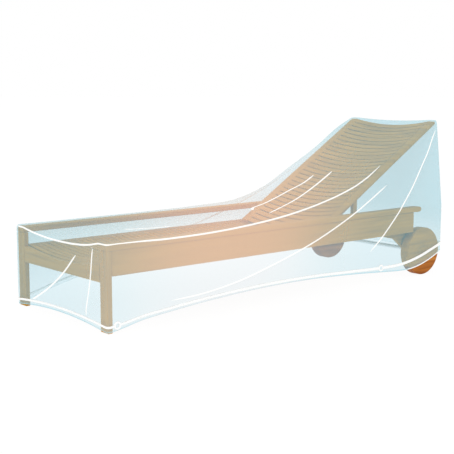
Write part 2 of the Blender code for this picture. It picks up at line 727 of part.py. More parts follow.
def make_eyelets(panels, plastic):
    """Four eyelet rings over the tape. A slot in each one's back lets the tape run through."""
    film_face = FILM_THICK / 2 + JOIN_GAP
    profile = (
        (EYELET_INNER, 0.0),
        (EYELET_OUTER, 0.0),
        (EYELET_OUTER, EYELET_THICK - EYELET_EDGE),
        (EYELET_OUTER - EYELET_EDGE, EYELET_THICK),
        (EYELET_INNER + EYELET_EDGE, EYELET_THICK),
        (EYELET_INNER, EYELET_THICK - EYELET_EDGE),
        (EYELET_INNER, 0.0),
    )
    reach = 1.5 * EYELET_OUTER
    slot_top = TAPE_THICK + JOIN_GAP
    slot_half = TAPE_WIDE / 2 + JOIN_GAP
    for side, sign in (("near", -1), ("far", 1)):
        grid = panels[f"cover_side_{side}"]
        middle = (grid[TAPE_LOW_ROW] + grid[TAPE_HIGH_ROW]) / 2
        for end, wanted in EYELET_PLACES.items():
            cell = np.searchsorted(middle[:, 0], wanted) - 1
            a, b = middle[cell], middle[cell + 1]
            place = (a + b) / 2 + np.array([0, sign * film_face, 0])
            tilt = -np.arctan2(b[2] - a[2], b[0] - a[0])
            outline = [(radius, sign * out) for radius, out in profile]
            ring = add_turned(f"eyelet_{side}_{end}", outline, EYELET_SIDES, place, plastic)
            ring.rotation_euler.y = tilt
            slot = add_board(
                f"slot_{side}_{end}",
                (-reach, reach),
                sorted((-sign * SLOT_DEEPER, sign * slot_top)),
                (-slot_half, slot_half),
                plastic,
                soft=False,
            )
            slot.location = ring.location
            slot.rotation_euler.y = tilt
            slot.hide_render = True
            slot.display_type = "WIRE"
            cut = ring.modifiers.new("Slot for the tape", "BOOLEAN")
            cut.operation = "DIFFERENCE"
            cut.object = slot


def make_cover(film, webbing, plastic):
    flat = cover_panels()
    normals = shared_normals(flat)
    panels = raise_folds(flat, normals)
    normals = shared_normals(panels)
    for name, grid in panels.items():
        add_film_panel(name, grid, normals[name], film)
    make_tape(panels, normals, webbing)
    make_eyelets(panels, plastic)


def main():
    clear_scene()
    wood = make_material("Oiled hardwood", (0.36, 0.19, 0.09), 0.5)
    steel = make_material("Zinc plated steel", (0.55, 0.55, 0.56), 0.35)
    film = make_material("Clear blue film", (0.45, 0.62, 0.70), 0.25, alpha=0.4)
    webbing = make_material("White woven tape", (0.85, 0.86, 0.86), 0.7)
    plastic = make_material("White moulded plastic", (0.85, 0.86, 0.86), 0.4)
    for side, sign in (("near", -1), ("far", 1)):
        make_side(side, sign, wood)
    make_foot_board(wood)
    make_cross_boards(wood)
    make_seat(wood)
    make_backrest(wood)
    make_wheels(wood, steel)
    make_cover(film, webbing, plastic)


main()
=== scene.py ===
from functools import partial

import bmesh
import bpy
import numpy as np
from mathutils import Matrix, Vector


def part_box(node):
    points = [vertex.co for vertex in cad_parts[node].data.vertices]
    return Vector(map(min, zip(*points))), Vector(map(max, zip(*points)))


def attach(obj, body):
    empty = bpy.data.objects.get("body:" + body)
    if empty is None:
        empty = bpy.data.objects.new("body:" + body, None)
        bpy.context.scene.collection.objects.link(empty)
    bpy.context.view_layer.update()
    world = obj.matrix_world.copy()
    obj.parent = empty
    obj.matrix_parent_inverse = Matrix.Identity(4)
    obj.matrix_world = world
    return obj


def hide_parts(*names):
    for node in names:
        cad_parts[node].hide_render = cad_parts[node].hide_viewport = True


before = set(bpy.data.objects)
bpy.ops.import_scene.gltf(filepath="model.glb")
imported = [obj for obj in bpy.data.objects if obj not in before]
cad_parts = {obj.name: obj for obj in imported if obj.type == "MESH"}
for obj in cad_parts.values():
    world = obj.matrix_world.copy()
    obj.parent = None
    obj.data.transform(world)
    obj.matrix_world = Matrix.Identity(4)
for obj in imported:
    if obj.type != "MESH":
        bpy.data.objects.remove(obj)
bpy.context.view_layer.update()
scene = bpy.context.scene
middle = -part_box("leg_near")[0].x  # the foot end of the lounger's frame is at x = -middle
toMiddle = np.array([middle, 0, 0])
axle = (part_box("axle")[0].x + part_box("axle")[1].x) / 2
draw = np.random.default_rng(7)  # which slat is lighter or darker
sharpFrom = np.radians(50)  # edges that turn more than this are sharp
# Painted highlight: film and wood are painted palest round one upright plane
paintedHighlight = {
    "across": (0.764, -0.645, 0.0),  # the way straight across the plane
    "place": -0.07,  # how far that way it stands from the middle
    "fade": (0.05, 0.80),  # how far from it the effect starts to fade and ends
}

# A white sky that lights evenly, a plain white floor, one large soft light from the upper left, and the
# photograph's viewing angle
room = {
    "sky": "ffffff",
    "skyStrength": 1.0,
    "floorColour": "ffffff",
    "floorShare": 0.06,  # share of the floor's white that it takes from the light on it
    "floorGlow": 0.95,  # and the share that it glows with, so that no dark shadow lies under the lounger
    "floorRadius": 60.0,
    "floorSides": 64,
    "keyPlace": (-3.0, -2.6, 4.2),
    "keyAim": (0.0, 0.0, 0.3),
    "keySize": 4.0,
    "keyPower": 60.0,
    "eyePlace": (-3.12155, -3.5402, 0.9691),
    "eyeTurn": (81.776, 0.0, -40.211),
    "lens": 79.41,
}

# How the cover lies, in metres, section by section from the foot end of the lounger
coverSections = (
    # along, near edge, far edge, drawn in, sag
    (-0.008, 0.358, 0.357, -0.008, 0.024),
    (0.150, 0.357, 0.356, -0.008, 0.027),
    (0.300, 0.356, 0.356, -0.008, 0.029),
    (0.500, 0.359, 0.356, -0.008, 0.029),
    (0.750, 0.374, 0.357, -0.008, 0.026),
    (1.000, 0.408, 0.361, -0.006, 0.020),
    (1.250, 0.460, 0.376, 0.002, 0.012),
    (1.450, 0.524, 0.438, 0.012, 0.008),
    (1.600, 0.584, 0.520, 0.022, 0.007),
    (1.800, 0.667, 0.630, 0.036, 0.007),
    (1.950, 0.734, 0.727, 0.045, 0.008),
    (2.065, 0.781, 0.781, 0.052, 0.009),
)
hemSections = (
    # along, near hem, near tape, far hem, far tape
    (-0.008, 0.003, 0.026, 0.003, 0.026),
    (0.060, 0.014, 0.034, 0.019, 0.039),
    (0.150, 0.032, 0.049, 0.046, 0.063),
    (0.300, 0.048, 0.063, 0.082, 0.097),
    (0.500, 0.064, 0.078, 0.112, 0.126),
    (0.800, 0.078, 0.091, 0.128, 0.141),
    (1.100, 0.078, 0.091, 0.130, 0.143),
    (1.400, 0.064, 0.080, 0.126, 0.142),
    (1.600, 0.050, 0.073, 0.120, 0.140),
    (1.720, 0.042, 0.074, 0.120, 0.142),
    (1.800, 0.041, 0.084, 0.120, 0.144),
    (1.880, 0.053, 0.101, 0.120, 0.146),
    (1.960, 0.077, 0.125, 0.117, 0.148),
    (2.046, 0.112, 0.152, 0.112, 0.152),
)
cover = {
    "start": -0.008,  # the film's face at the foot end, along
    "end": 2.046,  # and at the head end, at its hem
    "headLean": 0.019,  # how much further the head end's top edge reaches
    "pivot": 1.235,  # along, where the back starts to rise
    "halfWidth": 0.358,  # from the middle to the film's face at the hem
    "railHalf": 0.350,  # and at the top edge, less what the sections draw in
    "railTop": 0.350,  # height up to which the upright panels stand straight
    "leastLean": 0.050,  # the least height over which they lean in
    "cornerRadius": 0.018,  # in plan
    "foldRadius": 0.012,  # of the edge between the top and the upright panels
    "railShare": 0.09,  # share of the top's width on each side that doesn't sag
    "sideCells": 366,  # points along a side, across an end, and up the upright panels
    "endCells": 124,
    "sideRows": 78,
    "tapeWide": (0.0095, 0.0145),  # at the foot end and at the head end
    "hemFold": 0.0008,  # radius of the fold that turns the hem inwards
    "hemTurn": 0.006,  # how high the turned strip stands
    "footRises": (0.025, 0.020),  # how high the foot end's hem and tape arch
    "billow": 0.0014,  # the slack film's soft waves
    "foldSteps": 7,  # points round the hem's fold and the welded edge
    "topHold": 0.030,  # how far from its rim the top's folds and waves are at their full height
    "seamHold": (0.004, 0.030),  # how far below the seam the upright panels' begin, and are at full height
    "tapeHold": (0.006, 0.045),  # and how far above the tape
}

# Main folds, each a soft ridge with a pale painted highlight along its crest: points in the panel's two axes,
# height of the ridge, half width of the highlight, and how strong it shows
folds = {
    "near": (
        (((1.63, 0.476), (1.37, 0.354), (1.14, 0.261), (0.87, 0.179), (0.62, 0.121), (0.46, 0.100),
          (0.30, 0.093)), 0.006, 0.0036, 0.97),
        (((2.037, 0.731), (1.998, 0.681), (1.964, 0.631), (1.90, 0.555), (1.815, 0.455), (1.724, 0.366),
          (1.633, 0.276), (1.583, 0.230), (1.494, 0.161)), 0.006, 0.0041, 0.97),
    ),
    "far": (
        (((1.66, 0.52), (1.42, 0.40), (1.16, 0.31), (0.88, 0.24)), 0.006, 0.0034, 0.7),
        (((1.96, 0.70), (1.87, 0.54), (1.74, 0.38), (1.62, 0.27)), 0.006, 0.0034, 0.7),
    ),
    "foot": (
        (((-0.139, 0.286), (-0.056, 0.209), (0.051, 0.133), (0.241, 0.035)), 0.006, 0.0042, 0.95),
        (((-0.264, 0.329), (-0.250, 0.209), (-0.203, 0.049)), 0.006, 0.0042, 0.95),
    ),
    "top": (
        (((1.030, -0.034), (1.068, 0.008), (1.154, 0.025), (1.257, 0.048), (1.368, 0.059), (1.447, 0.047),
          (1.525, 0.055)), 0.005, 0.0080, 0.97),
        (((0.930, -0.258), (1.037, -0.213), (1.161, -0.164), (1.313, -0.107), (1.454, -0.067),
          (1.552, -0.048)), 0.005, 0.0080, 0.97),
        (((0.369, 0.072), (0.433, 0.038), (0.494, 0.013), (0.577, 0.011)), 0.003, 0.0070, 0.95),
    ),
    "head": (),
}
# The pale painted highlight along the welded edge, and the painted lines on the hem's fold
seamLine = {
    "halfWidth": 0.0038,
    "reach": 0.012,  # how far from its middle the line is noted
    "sideFade": (1.50, 1.60),  # along, where the pale line on the near edge thins out and ends
    "footFade": (0.345, 0.315),  # across, where it thins out at the far end of the foot end's edge
    "strength": 0.97,
    "near": ((-0.008, 0.0030), (0.03, 0.0010), (0.07, 0.0010), (0.13, 0.0018), (0.25, 0.0052),
             (0.50, 0.0055), (0.70, 0.0050), (0.80, 0.0068), (1.00, 0.0110), (1.20, 0.0135),
             (1.40, 0.0200), (1.50, 0.0168), (1.60, 0.0060)),  # along, and how far below the seam it runs
    "foot": ((-0.358, 0.0030), (-0.34, 0.0020), (-0.32, 0.0020), (-0.30, 0.0032), (-0.24, 0.0074),
             (-0.20, 0.0080), (-0.10, 0.0060), (0.0, 0.0040), (0.358, 0.0030)),  # across, and the same
    "hemEdge": (0.0011, 0.0062),  # how far up the line on the hem's fold reaches: grey painted shade, and white painted highlight
    "hemWhite": (1.72, 1.80),  # along, where that line turns from grey painted shade to white painted highlight on the near side
}


def toLinear(colour):
    # sRGB hex to linear: c / 12.92 up to 0.04045, above it ((c + 0.055) / 1.055) ** 2.4
    part = np.array([int(colour[k:k + 2], 16) / 255 for k in (0, 2, 4)])
    linear = np.where(part <= 0.04045, part / 12.92, ((part + 0.055) / 1.055) ** 2.4)
    return (*linear, 1.0)


def addNode(tree, kind, inputs=(), stops=(), out=0, **settings):
    # one node: settings are its own properties, inputs are its constants or the sockets that feed it, and
    # stops are a colour ramp's (place, hex colour) pairs, in rising order. Returns its output numbered or
    # named out, or all of them
    node = tree.nodes.new("ShaderNode" + kind)
    for name, value in settings.items():
        setattr(node, name, value)
    for key, value in dict(inputs).items():
        if isinstance(value, bpy.types.NodeSocket):
            tree.links.new(value, node.inputs[key])
        else:
            node.inputs[key].default_value = value
    for k, (place, colour) in enumerate(stops):
        stop = node.color_ramp.elements[k] if k < 2 else node.color_ramp.elements.new(place)
        stop.position = place
        stop.color = toLinear(colour)
    return node.outputs if out is None else node.outputs[out]


def newMaterial(name):
    # an empty node tree, addNode for that tree, and the Object coordinates to start from
    material = bpy.data.materials.new(name)
    material.use_nodes = True
    material.node_tree.nodes.clear()
    add = partial(addNode, material.node_tree)
    return material, add, add("TexCoord", out="Object")


def endMaterial(material, add, look, colour, grain, height, sockets=()):
    # how each finish ends: roughness that follows the grain between the look's two values, relief that
    # follows the height, and constants on the shader's own sockets
    smooth, dull = look["roughness"]
    rough = smooth if smooth == dull else add("MapRange", {0: grain, 3: smooth, 4: dull})
    inputs = {"Base Color": colour, "Roughness": rough, **look["shader"], **dict(sockets)}
    if "relief" in look:
        deep, strength = look["relief"]
        inputs["Normal"] = add("Bump", {"Height": height, "Distance": deep, "Strength": strength})
    add("OutputMaterial", {"Surface": add("BsdfPrincipled", inputs)}, out=None)
    return material


def paintedHighlightShare(add, place, drift=0.0):
    # how much painted highlight a spot takes, from 0 to 1: distance from the plane, eased between the two
    # ends of the fade
    start, end = paintedHighlight["fade"]
    away = add("VectorMath", {0: place, 1: paintedHighlight["across"]}, out="Value", operation="DOT_PRODUCT")
    away = add("Math", {0: away, 1: -paintedHighlight["place"]}, operation="ADD")
    away = add("Math", {0: away}, operation="ABSOLUTE")
    away = add("Math", {0: away, 1: drift}, operation="ADD")
    return add("MapRange", {0: away, 1: end, 2: start}, interpolation_type="SMOOTHSTEP")


filmLook = {
    "stops": ((0.0, "8ccede"), (0.35, "a6d7e3"), (1.0, "d8e5ea")),  # colour from the film's own tint to its painted highlight
    "alpha": 0.36,
    "creaseColour": "fffefb",  # of the painted highlights along creases and the welded edge
    "creaseAlpha": 0.96,
    "hemColour": "c3d3d8",  # of the painted shade line on the hem's fold
    "hemAlpha": 0.60,
    "lineSoft": 0.0016,  # metres over which the edge of a line fades
    "cloud": 600.0,  # mm across one cloud that shifts the painted highlight
    "drift": 0.20,  # metres by which the clouds shift the painted highlight
    "ripple": 38.0,  # mm across one ripple of the film's gloss
    "rippleShare": 0.35,  # height of a ripple, as a share of a crease's
    "roughness": (0.22, 0.34),
    "relief": (0.0010, 0.15),  # height of a crease in the shading, in metres, and its strength
    "shader": {"IOR": 1.5, "Specular IOR Level": 0.06},
    "tintAtHem": {"far": (0.34, 0.35), "head": (0.34, 0.35)},  # height from which these panels' tint thins
    # out downwards, and the share of it that is left at the hem
}


def makeFilm(look=filmLook):
    # Clear polyethylene film, blown, tinted pale blue: half see-through with a silky gloss, painted paler and
    # milkier in the middle as a highlight, and with pale painted highlights along its creases. Its crease
    # attribute holds the distance from a line, the line's half width and its strength, which is below 0 for
    # the hem's grey line of painted shade
    material, add, place = newMaterial("clear polyethylene film")
    cloud, ripple = (add("TexNoise", {"Vector": place, "Scale": 1000 / look[kind], "Detail": 2.0})
                     for kind in ("cloud", "ripple"))
    drift = look["drift"]
    drift = add("Math", {0: cloud, 1: drift, 2: -drift / 2}, operation="MULTIPLY_ADD")
    # painted highlight: the film is painted paler and milkier round the plane
    colour = add("ValToRGB", {"Fac": paintedHighlightShare(add, place, drift)}, look["stops"])
    alpha = look["alpha"]
    crease = add("Attribute", out="Vector", attribute_name="crease")
    parts = add("SeparateXYZ", {0: crease}, out=None)
    away = add("Math", {0: parts["X"]}, operation="ABSOLUTE")
    inside = add("Math", {0: parts["Y"], 1: away}, operation="SUBTRACT")
    line = add("Math", {0: inside, 1: 1 / look["lineSoft"], 2: 0.5}, operation="MULTIPLY_ADD", use_clamp=True)
    # painted shade: the hem's grey line, whose strength is below 0
    grey = add("Math", {0: parts["Z"], 1: -1.0}, operation="MULTIPLY")
    height = ripple
    # the crease lines are painted highlights, the hem's line painted shade
    for kind, strength in (("crease", parts["Z"]), ("hem", grey)):
        share = add("Math", {0: line, 1: strength}, operation="MULTIPLY", use_clamp=True)
        colour = add("Mix", {0: share, 6: colour, 7: toLinear(look[kind + "Colour"])}, out=2,
                     data_type="RGBA")
        more = look[kind + "Alpha"] - look["alpha"]
        alpha = add("Math", {0: share, 1: more, 2: alpha}, operation="MULTIPLY_ADD")
        if kind == "crease":
            height = add("Math", {0: ripple, 1: look["rippleShare"], 2: share}, operation="MULTIPLY_ADD")
    thin = add("Attribute", out="Fac", attribute_name="thin")
    alpha = add("Math", {0: alpha, 1: thin}, operation="MULTIPLY")
    return endMaterial(material, add, look, colour, ripple, height, {"Alpha": alpha})


woodLook = {
    "boards": ("a97a10", "b88718", "c2901f"),  # dark, mid and light tone under the film
    "shadedBelowHem": ("894b10", "ab6423", "bc7a33"),  # darker and redder tones: painted shade on the wheel's lower part, below the hem where the cover leaves the wood bare
    "shadedTread": ("7a4014", "9a5826", "ac6c35"),  # darker still: painted shade on the tread's lower part
    "bands": (0.34, 0.50, 0.66),  # where the grain's figure has those tones
    "bareBelow": {"near": (0.072, 0.26), "far": (0.118, 0.0)},  # height of the hem over the axle, its slope
    "bareSoft": 0.004,  # half the height over which the tone changes there
    # painted shade in the gaps between slats
    "gapShade": "5b3408",
    "pale": "dc9640",  # the tone of the painted highlight, where the wood is painted palest
    "paleShare": 0.85,
    "figure": 15.0,  # mm across one band of the grain's figure
    "pore": 1.6,  # mm between pores
    "poreDepth": (0.42, 0.30, 0.35),  # where in their noise pores begin and end, and how dark they are
    "poreShare": 0.6,  # height of the pores beside the figure's, in the shading
    "stretch": 26.0,  # how many times longer than wide the figure is
    "roughness": (0.48, 0.64),
    "relief": (0.0006, 0.35),  # height of the grain in the shading, in metres, and its strength
    "shader": {"IOR": 1.45, "Specular IOR Level": 0.15},
    "slatTones": (0.97, 1.04),
}


def makeWood(name, axis, seed, tones="boards", side="near", slats=False, look=woodLook):
    # Planed and oiled hardwood: warm tan, straight grain along each board, dull sheen, fine open pores, and
    # painted light: a highlight round one plane, shade below the hem on the wheels and in the gaps between
    # slats
    material, add, place = newMaterial(name)
    wide = 1000 / look["figure"]
    scale = [wide, wide, wide]
    scale["xyz".index(axis)] = wide / look["stretch"]
    fine = [look["figure"] / look["pore"] * s for s in scale]
    shift = (0.37 * seed, 0.73 * seed, 0.51 * seed)  # no two boards are cut from one place
    figure, pore = (add("Mapping", {"Vector": place, "Location": shift, "Scale": size})
                    for size in (scale, fine))
    bands = add("TexNoise", {"Vector": figure, "Scale": 1.0, "Detail": 4.0, "Distortion": 0.6})
    pores = add("TexNoise", {"Vector": pore, "Scale": 1.0, "Detail": 2.0})
    ramps = {kind: add("ValToRGB", {"Fac": bands}, zip(look["bands"], look[kind]))
             for kind in dict.fromkeys(("boards", tones))}
    colour = ramps["boards"]
    if tones != "boards":
        # painted shade: darker and redder below the hem, whose height is a straight line over the wheel
        height, slope = look["bareBelow"][side]
        soft = look["bareSoft"]
        parts = add("SeparateXYZ", {0: place}, out=None)
        level = add("Math", {0: parts["X"], 1: -slope, 2: parts["Z"]}, operation="MULTIPLY_ADD")
        level = add("Math", {0: level, 1: slope * axle}, operation="ADD")
        shadedBelowHem = add("MapRange", {0: level, 1: height + soft, 2: height - soft})
        colour = add("Mix", {0: shadedBelowHem, 6: colour, 7: ramps[tones]}, out=2, data_type="RGBA")
    start, end, depth = look["poreDepth"]
    specks = add("MapRange", {0: pores, 1: start, 2: end, 3: 0.0, 4: depth})
    layers = [(specks, look[tones][0])]
    # painted highlight: wood under the film is painted paler round the plane
    if tones == "boards":
        paler = add("Math", {0: paintedHighlightShare(add, place), 1: look["paleShare"]}, operation="MULTIPLY")
        layers.append((paler, look["pale"]))
    for share, tone in layers:
        colour = add("Mix", {0: share, 6: colour, 7: toLinear(tone)}, out=2, data_type="RGBA")
    if slats:
        # each slat is a board of its own, lighter or darker than the next, and painted darker down its sides
        # as shade in the gaps between slats
        board = add("Attribute", out="Vector", attribute_name="board")
        board = add("SeparateXYZ", {0: board}, out=None)
        darker, lighter = look["slatTones"]
        tone = add("MapRange", {0: board["X"], 3: darker, 4: lighter})
        colour = add("HueSaturation", {"Value": tone, "Color": colour})
        colour = add("Mix", {0: board["Y"], 6: colour, 7: toLinear(look["gapShade"])}, out=2, data_type="RGBA")
    height = add("Math", {0: pores, 1: look["poreShare"], 2: bands}, operation="MULTIPLY_ADD")
    return endMaterial(material, add, look, colour, bands, height)


weave = {
    "rib": 1.5,  # mm from one rib to the next, along the tape
    "thread": 0.6,  # mm from one thread to the next, across it
    "roughness": (0.8, 0.8),
    "relief": (0.0003, 0.5),
    # white emission, for the tape's painted glow
    "shader": {"IOR": 1.5, "Sheen Weight": 0.2, "Emission Color": (1.0, 1.0, 1.0, 1.0)},
}


def makeWebbing(name, low, high, paintedGlow, look=weave):
    # Woven polyester tape, bleached white: a fine ribbed weave with no gloss, that also glows a little with
    # emission, painted light standing for the light that comes through it. A Wave texture's bands are 2 pi /
    # 20 of its scale apart
    material, add, _ = newMaterial(name)
    across = add("UVMap", uv_map="weave")
    ribs, threads = (add("TexWave", {"Vector": across, "Scale": 100 * np.pi / look[kind]},
                         out="Fac", bands_direction=way) for kind, way in (("rib", "X"), ("thread", "Y")))
    cloth = add("Math", {0: ribs, 1: threads}, operation="MULTIPLY")
    colour = add("ValToRGB", {"Fac": cloth}, ((0.0, low), (1.0, high)))
    return endMaterial(material, add, look, colour, cloth, cloth, {"Emission Strength": paintedGlow})


plainLooks = {
    # Spun polyester sewing thread: round, matt, twisted in a tight ply
    "white polyester thread": {
        "grains": (1200.0, 1200.0, 1200.0),  # how many grains there are to a metre, along x, y and z
        "detail": 2.0,
        "tones": ("e6e9e7", "f9faf9"),
        "roughness": (0.7, 0.7),
        "shader": {"IOR": 1.5},
    },
    # Moulded polypropylene: smooth satin with a faint moulding texture
    "white moulded polypropylene": {
        "grains": (900.0, 900.0, 900.0),
        "detail": 2.0,
        "tones": ("f2f4f3", "fcfdfc"),
        "roughness": (0.30, 0.42),
        "relief": (0.0001, 0.3),
        "shader": {"IOR": 1.49},
    },
    # Zinc plated bar, drawn: pale grey, passivated to a dull bloom, with faint streaks along the bar
    "zinc plated steel": {
        "grains": (900.0, 14.0, 900.0),
        "detail": 3.0,
        "tones": ("e4e7e9", "f4f6f7"),
        "roughness": (0.52, 0.66),
        "shader": {"Metallic": 0.4},
    },
}


plainBands = (0.3, 0.7)  # where in the noise the darker and the lighter tone are


def makePlain(name):
    # one of those finishes: a fine noise leads from its darker tone to its lighter
    look = plainLooks[name]
    material, add, place = newMaterial(name)
    spot = add("Mapping", {"Vector": place, "Scale": look["grains"]})
    grain = add("TexNoise", {"Vector": spot, "Scale": 1.0, "Detail": look["detail"]})
    colour = add("ValToRGB", {"Fac": grain}, zip(plainBands, look["tones"]))
    return endMaterial(material, add, look, colour, grain, grain)


def smoothColumn(table, column, where):
    # one column of a table between its rows, on the cubic through them whose slopes are the table's own
    rows = np.array(table, float)
    x, y = rows[:, 0], rows[:, column]
    slope = np.gradient(y, x)
    i = np.clip(np.searchsorted(x, where) - 1, 0, len(x) - 2)
    step = x[i + 1] - x[i]
    t = np.clip((where - x[i]) / step, 0, 1)
    start = y[i] * (1 + 2 * t) * (1 - t) ** 2 + step * slope[i] * t * (1 - t) ** 2
    end = y[i + 1] * t * t * (3 - 2 * t) - step * slope[i + 1] * t * t * (1 - t)
    return start + end


def smoothLine(points, count=200):
    # a smooth line through points: each coordinate is such a cubic of the length walked along them
    points = np.array(points, float)
    walked = np.concatenate([[0], np.cumsum(np.linalg.norm(np.diff(points, axis=0), axis=1))])
    table = np.column_stack([walked, points])
    where = np.linspace(0, walked[-1], count)
    return np.stack([smoothColumn(table, 1, where), smoothColumn(table, 2, where)], axis=-1), walked[-1]


def edgeStations(start, end, corner, cells, steps=6):
    # places along one side of a rounded rectangle: r (1 - sin t) from its end where a corner turns through t,
    # even steps between the corners. Returns the places, and t, which is negative at the second corner
    turn = np.radians(np.linspace(45, 0, steps + 1))[:-1]
    arc = corner * (1 - np.sin(turn))
    straight = np.linspace(start + corner, end - corner, cells + 1)
    places = np.concatenate([start + arc, straight, end - arc[::-1]])
    return places, np.concatenate([turn, 0 * straight, -turn[::-1]])


def addMesh(name, points, faces, materials, smooth=True):
    # one object at the origin from whole arrays of points and of corners, three or more to a face
    mesh = bpy.data.meshes.new(name)
    mesh.from_pydata(points, [], faces)
    for material in materials:
        mesh.materials.append(material)
    mesh.polygons.foreach_set("use_smooth", np.full(len(mesh.polygons), smooth))
    piece = bpy.data.objects.new(name, mesh)
    scene.collection.objects.link(piece)
    return piece


def setField(piece, name, values):
    # a vector attribute with one value to a point
    field = piece.data.attributes.new(name, "FLOAT_VECTOR", "POINT")
    field.data.foreach_set("vector", values.reshape(-1).astype(np.float32))


def standFor(piece, slot, *nodes):
    # the piece moves with the lounger and is shown in place of the nodes
    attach(piece, "root")
    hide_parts(*nodes)


def gridFaces(rows, columns, closed=False):
    # the four corners of every cell of a grid of rows and columns; closed joins the last column to the first
    at = np.arange(rows * columns).reshape(rows, columns)
    if closed:
        at = np.concatenate([at, at[:, :1]], axis=1)
    cells = np.stack([at[:-1, :-1], at[:-1, 1:], at[1:, 1:], at[1:, :-1]], axis=-1)
    return cells.reshape(-1, 4)


def turnOutwards(piece, merge=False):
    # turns all faces of closed shapes outwards, after merging the doubled points at their poles
    shape = bmesh.new()
    shape.from_mesh(piece.data)
    if merge:
        bmesh.ops.remove_doubles(shape, verts=shape.verts, dist=1e-6)
    bmesh.ops.recalc_face_normals(shape, faces=shape.faces)
    shape.to_mesh(piece.data)
    shape.free()


def gridNormals(grid):
    # the outward direction of a grid at each point: the cross product of its two gradients
    across = np.gradient(grid, axis=1)
    up = np.gradient(grid, axis=0)
    normal = np.cross(across, up)
    return normal / np.maximum(np.linalg.norm(normal, axis=-1, keepdims=True), 1e-12)


def fadeOver(value, start, end):
    # 1 before start, 0 after end, easing between them as 1 - (3 t^2 - 2 t^3)
    t = np.clip((value - start) / (end - start), 0, 1)
    return 1 - t * t * (3 - 2 * t)


def rise(values, low, high):
    # 0 at low, 1 at high, easing as 3 t^2 - 2 t^3
    return 1 - fadeOver(values, low, high)


foldForm = {
    "broad": (0.6, 0.030),  # share of a fold's height that falls off over so many metres from its crest
    "sharp": (0.4, 0.009),
    "search": 0.10,  # how far from a fold points are raised
    "reach": 0.020,  # how far from a fold its crease is noted
    "taper": (0.06, 0.5),  # share of a fold's length over which its crease thins to each end, and the power
}
noLine = -0.01  # a crease attribute with a half width below 0 draws no line


def foldFields(rows, first, second, look=foldForm):
    # how far each point is raised, and its crease attribute, from the panel's folds. A fold raises a point by
    # ridge * (0.6 exp(-(d / 30 mm)^2) + 0.4 exp(-(d / 9 mm)^2)) at distance d, tapering to both ends
    raised = np.zeros(first.shape)
    crease = np.zeros((*first.shape, 3))
    crease[..., 1] = noLine
    nearest = np.full(first.shape, look["reach"])
    flat = np.stack([first.ravel(), second.ravel()], axis=-1)
    for points, ridge, halfWidth, strength in rows:
        line, length = smoothLine(points)
        tangent = np.gradient(line, axis=0)
        step = length / (len(line) - 1)
        tangent /= np.linalg.norm(tangent, axis=1, keepdims=True)
        low, high = line.min(0) - look["search"], line.max(0) + look["search"]
        close = np.flatnonzero(((flat > low) & (flat < high)).all(axis=1))
        spot = flat[close]
        gap = ((spot[:, None, :] - line[None, :, :]) ** 2).sum(-1)
        k = gap.argmin(axis=1)
        offset = spot - line[k]
        signed = offset[:, 0] * tangent[k, 1] - offset[:, 1] * tangent[k, 0]
        beyond = (offset * tangent[k]).sum(1)
        share = (k * step + beyond) / length
        distance = np.hypot(signed, np.where((share < 0) | (share > 1), beyond, 0))
        end = np.minimum(share, 1 - share)
        over, power = look["taper"]
        taper = np.clip(np.sign(end) * np.abs(end / over) ** power, -1, 1)
        ease = np.sqrt(np.sin(np.pi * np.clip(share, 0, 1)))
        profile = sum(part * np.exp(-(distance / wide) ** 2) for part, wide in (look["broad"], look["sharp"]))
        raised.ravel()[close] += ridge * ease * profile
        mine = distance < nearest.ravel()[close]
        at = close[mine]
        nearest.ravel()[at] = distance[mine]
        crease.reshape(-1, 3)[at] = np.stack([signed[mine], halfWidth * taper[mine],
                                              np.full(mine.sum(), strength)], axis=-1)
    return raised, crease


slackWaves = ((9.1, 4.3, 1.0), (17.3, -11.9, 2.1), (5.7, 23.0, 3.7))  # radians a metre, and a phase


def billow(first, second, seed):
    # slack film's soft waves, never inwards: the mean of three slow sines of the panel's axes, from 0 to 1
    waves = sum(np.sin(along * first + across * second + turn * seed) for along, across, turn in slackWaves)
    return (waves / len(slackWaves) + 1) / 2


def topEdges(look=cover):
    # the cover's top edge in plan and height, side by side: the line where the top panel meets the upright
    # ones, on the diagonal of a fold of radius r, so that it lies 0.293 r in from the wall and below the top
    inset = (1 - np.sqrt(0.5)) * look["foldRadius"]
    places, turn = edgeStations(look["start"], look["end"], look["cornerRadius"], look["sideCells"])
    onBack = np.clip((places - look["pivot"]) / (look["end"] - look["cornerRadius"] - look["pivot"]), 0, 1)
    along = places + look["headLean"] * onBack
    inward = look["cornerRadius"] * (1 - np.cos(turn))
    sideAcross = look["railHalf"] - smoothColumn(coverSections, 3, along) - inward
    edges = {}
    for side, sign in (("near", -1), ("far", 1)):
        normal = np.stack([-np.sin(turn), sign * np.cos(turn)], axis=-1)
        edges[side] = {
            "low": np.stack([places, sign * (look["halfWidth"] - inward)], axis=-1),
            "wall": np.stack([along, sign * sideAcross], axis=-1),
            "out": normal,
            "top": smoothColumn(coverSections, 1 if side == "near" else 2, along),
        }
    for end, sign, row in (("foot", -1, 0), ("head", 1, -1)):
        across, upper = (edgeStations(-half, half, look["cornerRadius"], look["endCells"])[0]
                         for half in (look["halfWidth"], look["railHalf"] - coverSections[row][3]))
        turn = edgeStations(0, 1, look["cornerRadius"], look["endCells"])[1]
        inward = look["cornerRadius"] * (1 - np.cos(turn))
        x = look["start"] + inward if end == "foot" else look["end"] - inward
        topX = x + (look["headLean"] if end == "head" else 0)
        edges[end] = {
            "low": np.stack([x, across], axis=-1),
            "wall": np.stack([topX, upper], axis=-1),
            "out": np.stack([sign * np.cos(turn), -np.sin(turn)], axis=-1),
            "top": topHeight(topX, (upper - upper[0]) / (upper[-1] - upper[0])),
        }
    for edge in edges.values():
        edge["seam"] = edge["wall"] - inset * edge["out"]
    return edges


def topHeight(x, v, look=cover):
    # height of the top before its edges round off: straight from the near edge to the far one, less a sag of
    # 4 sag t (1 - t) between the rails
    t = np.clip((v - look["railShare"]) / (1 - 2 * look["railShare"]), 0, 1)
    near, far, sag = (smoothColumn(coverSections, k, x) for k in (1, 2, 4))
    return (1 - v) * near + v * far - 4 * sag * t * (1 - t)


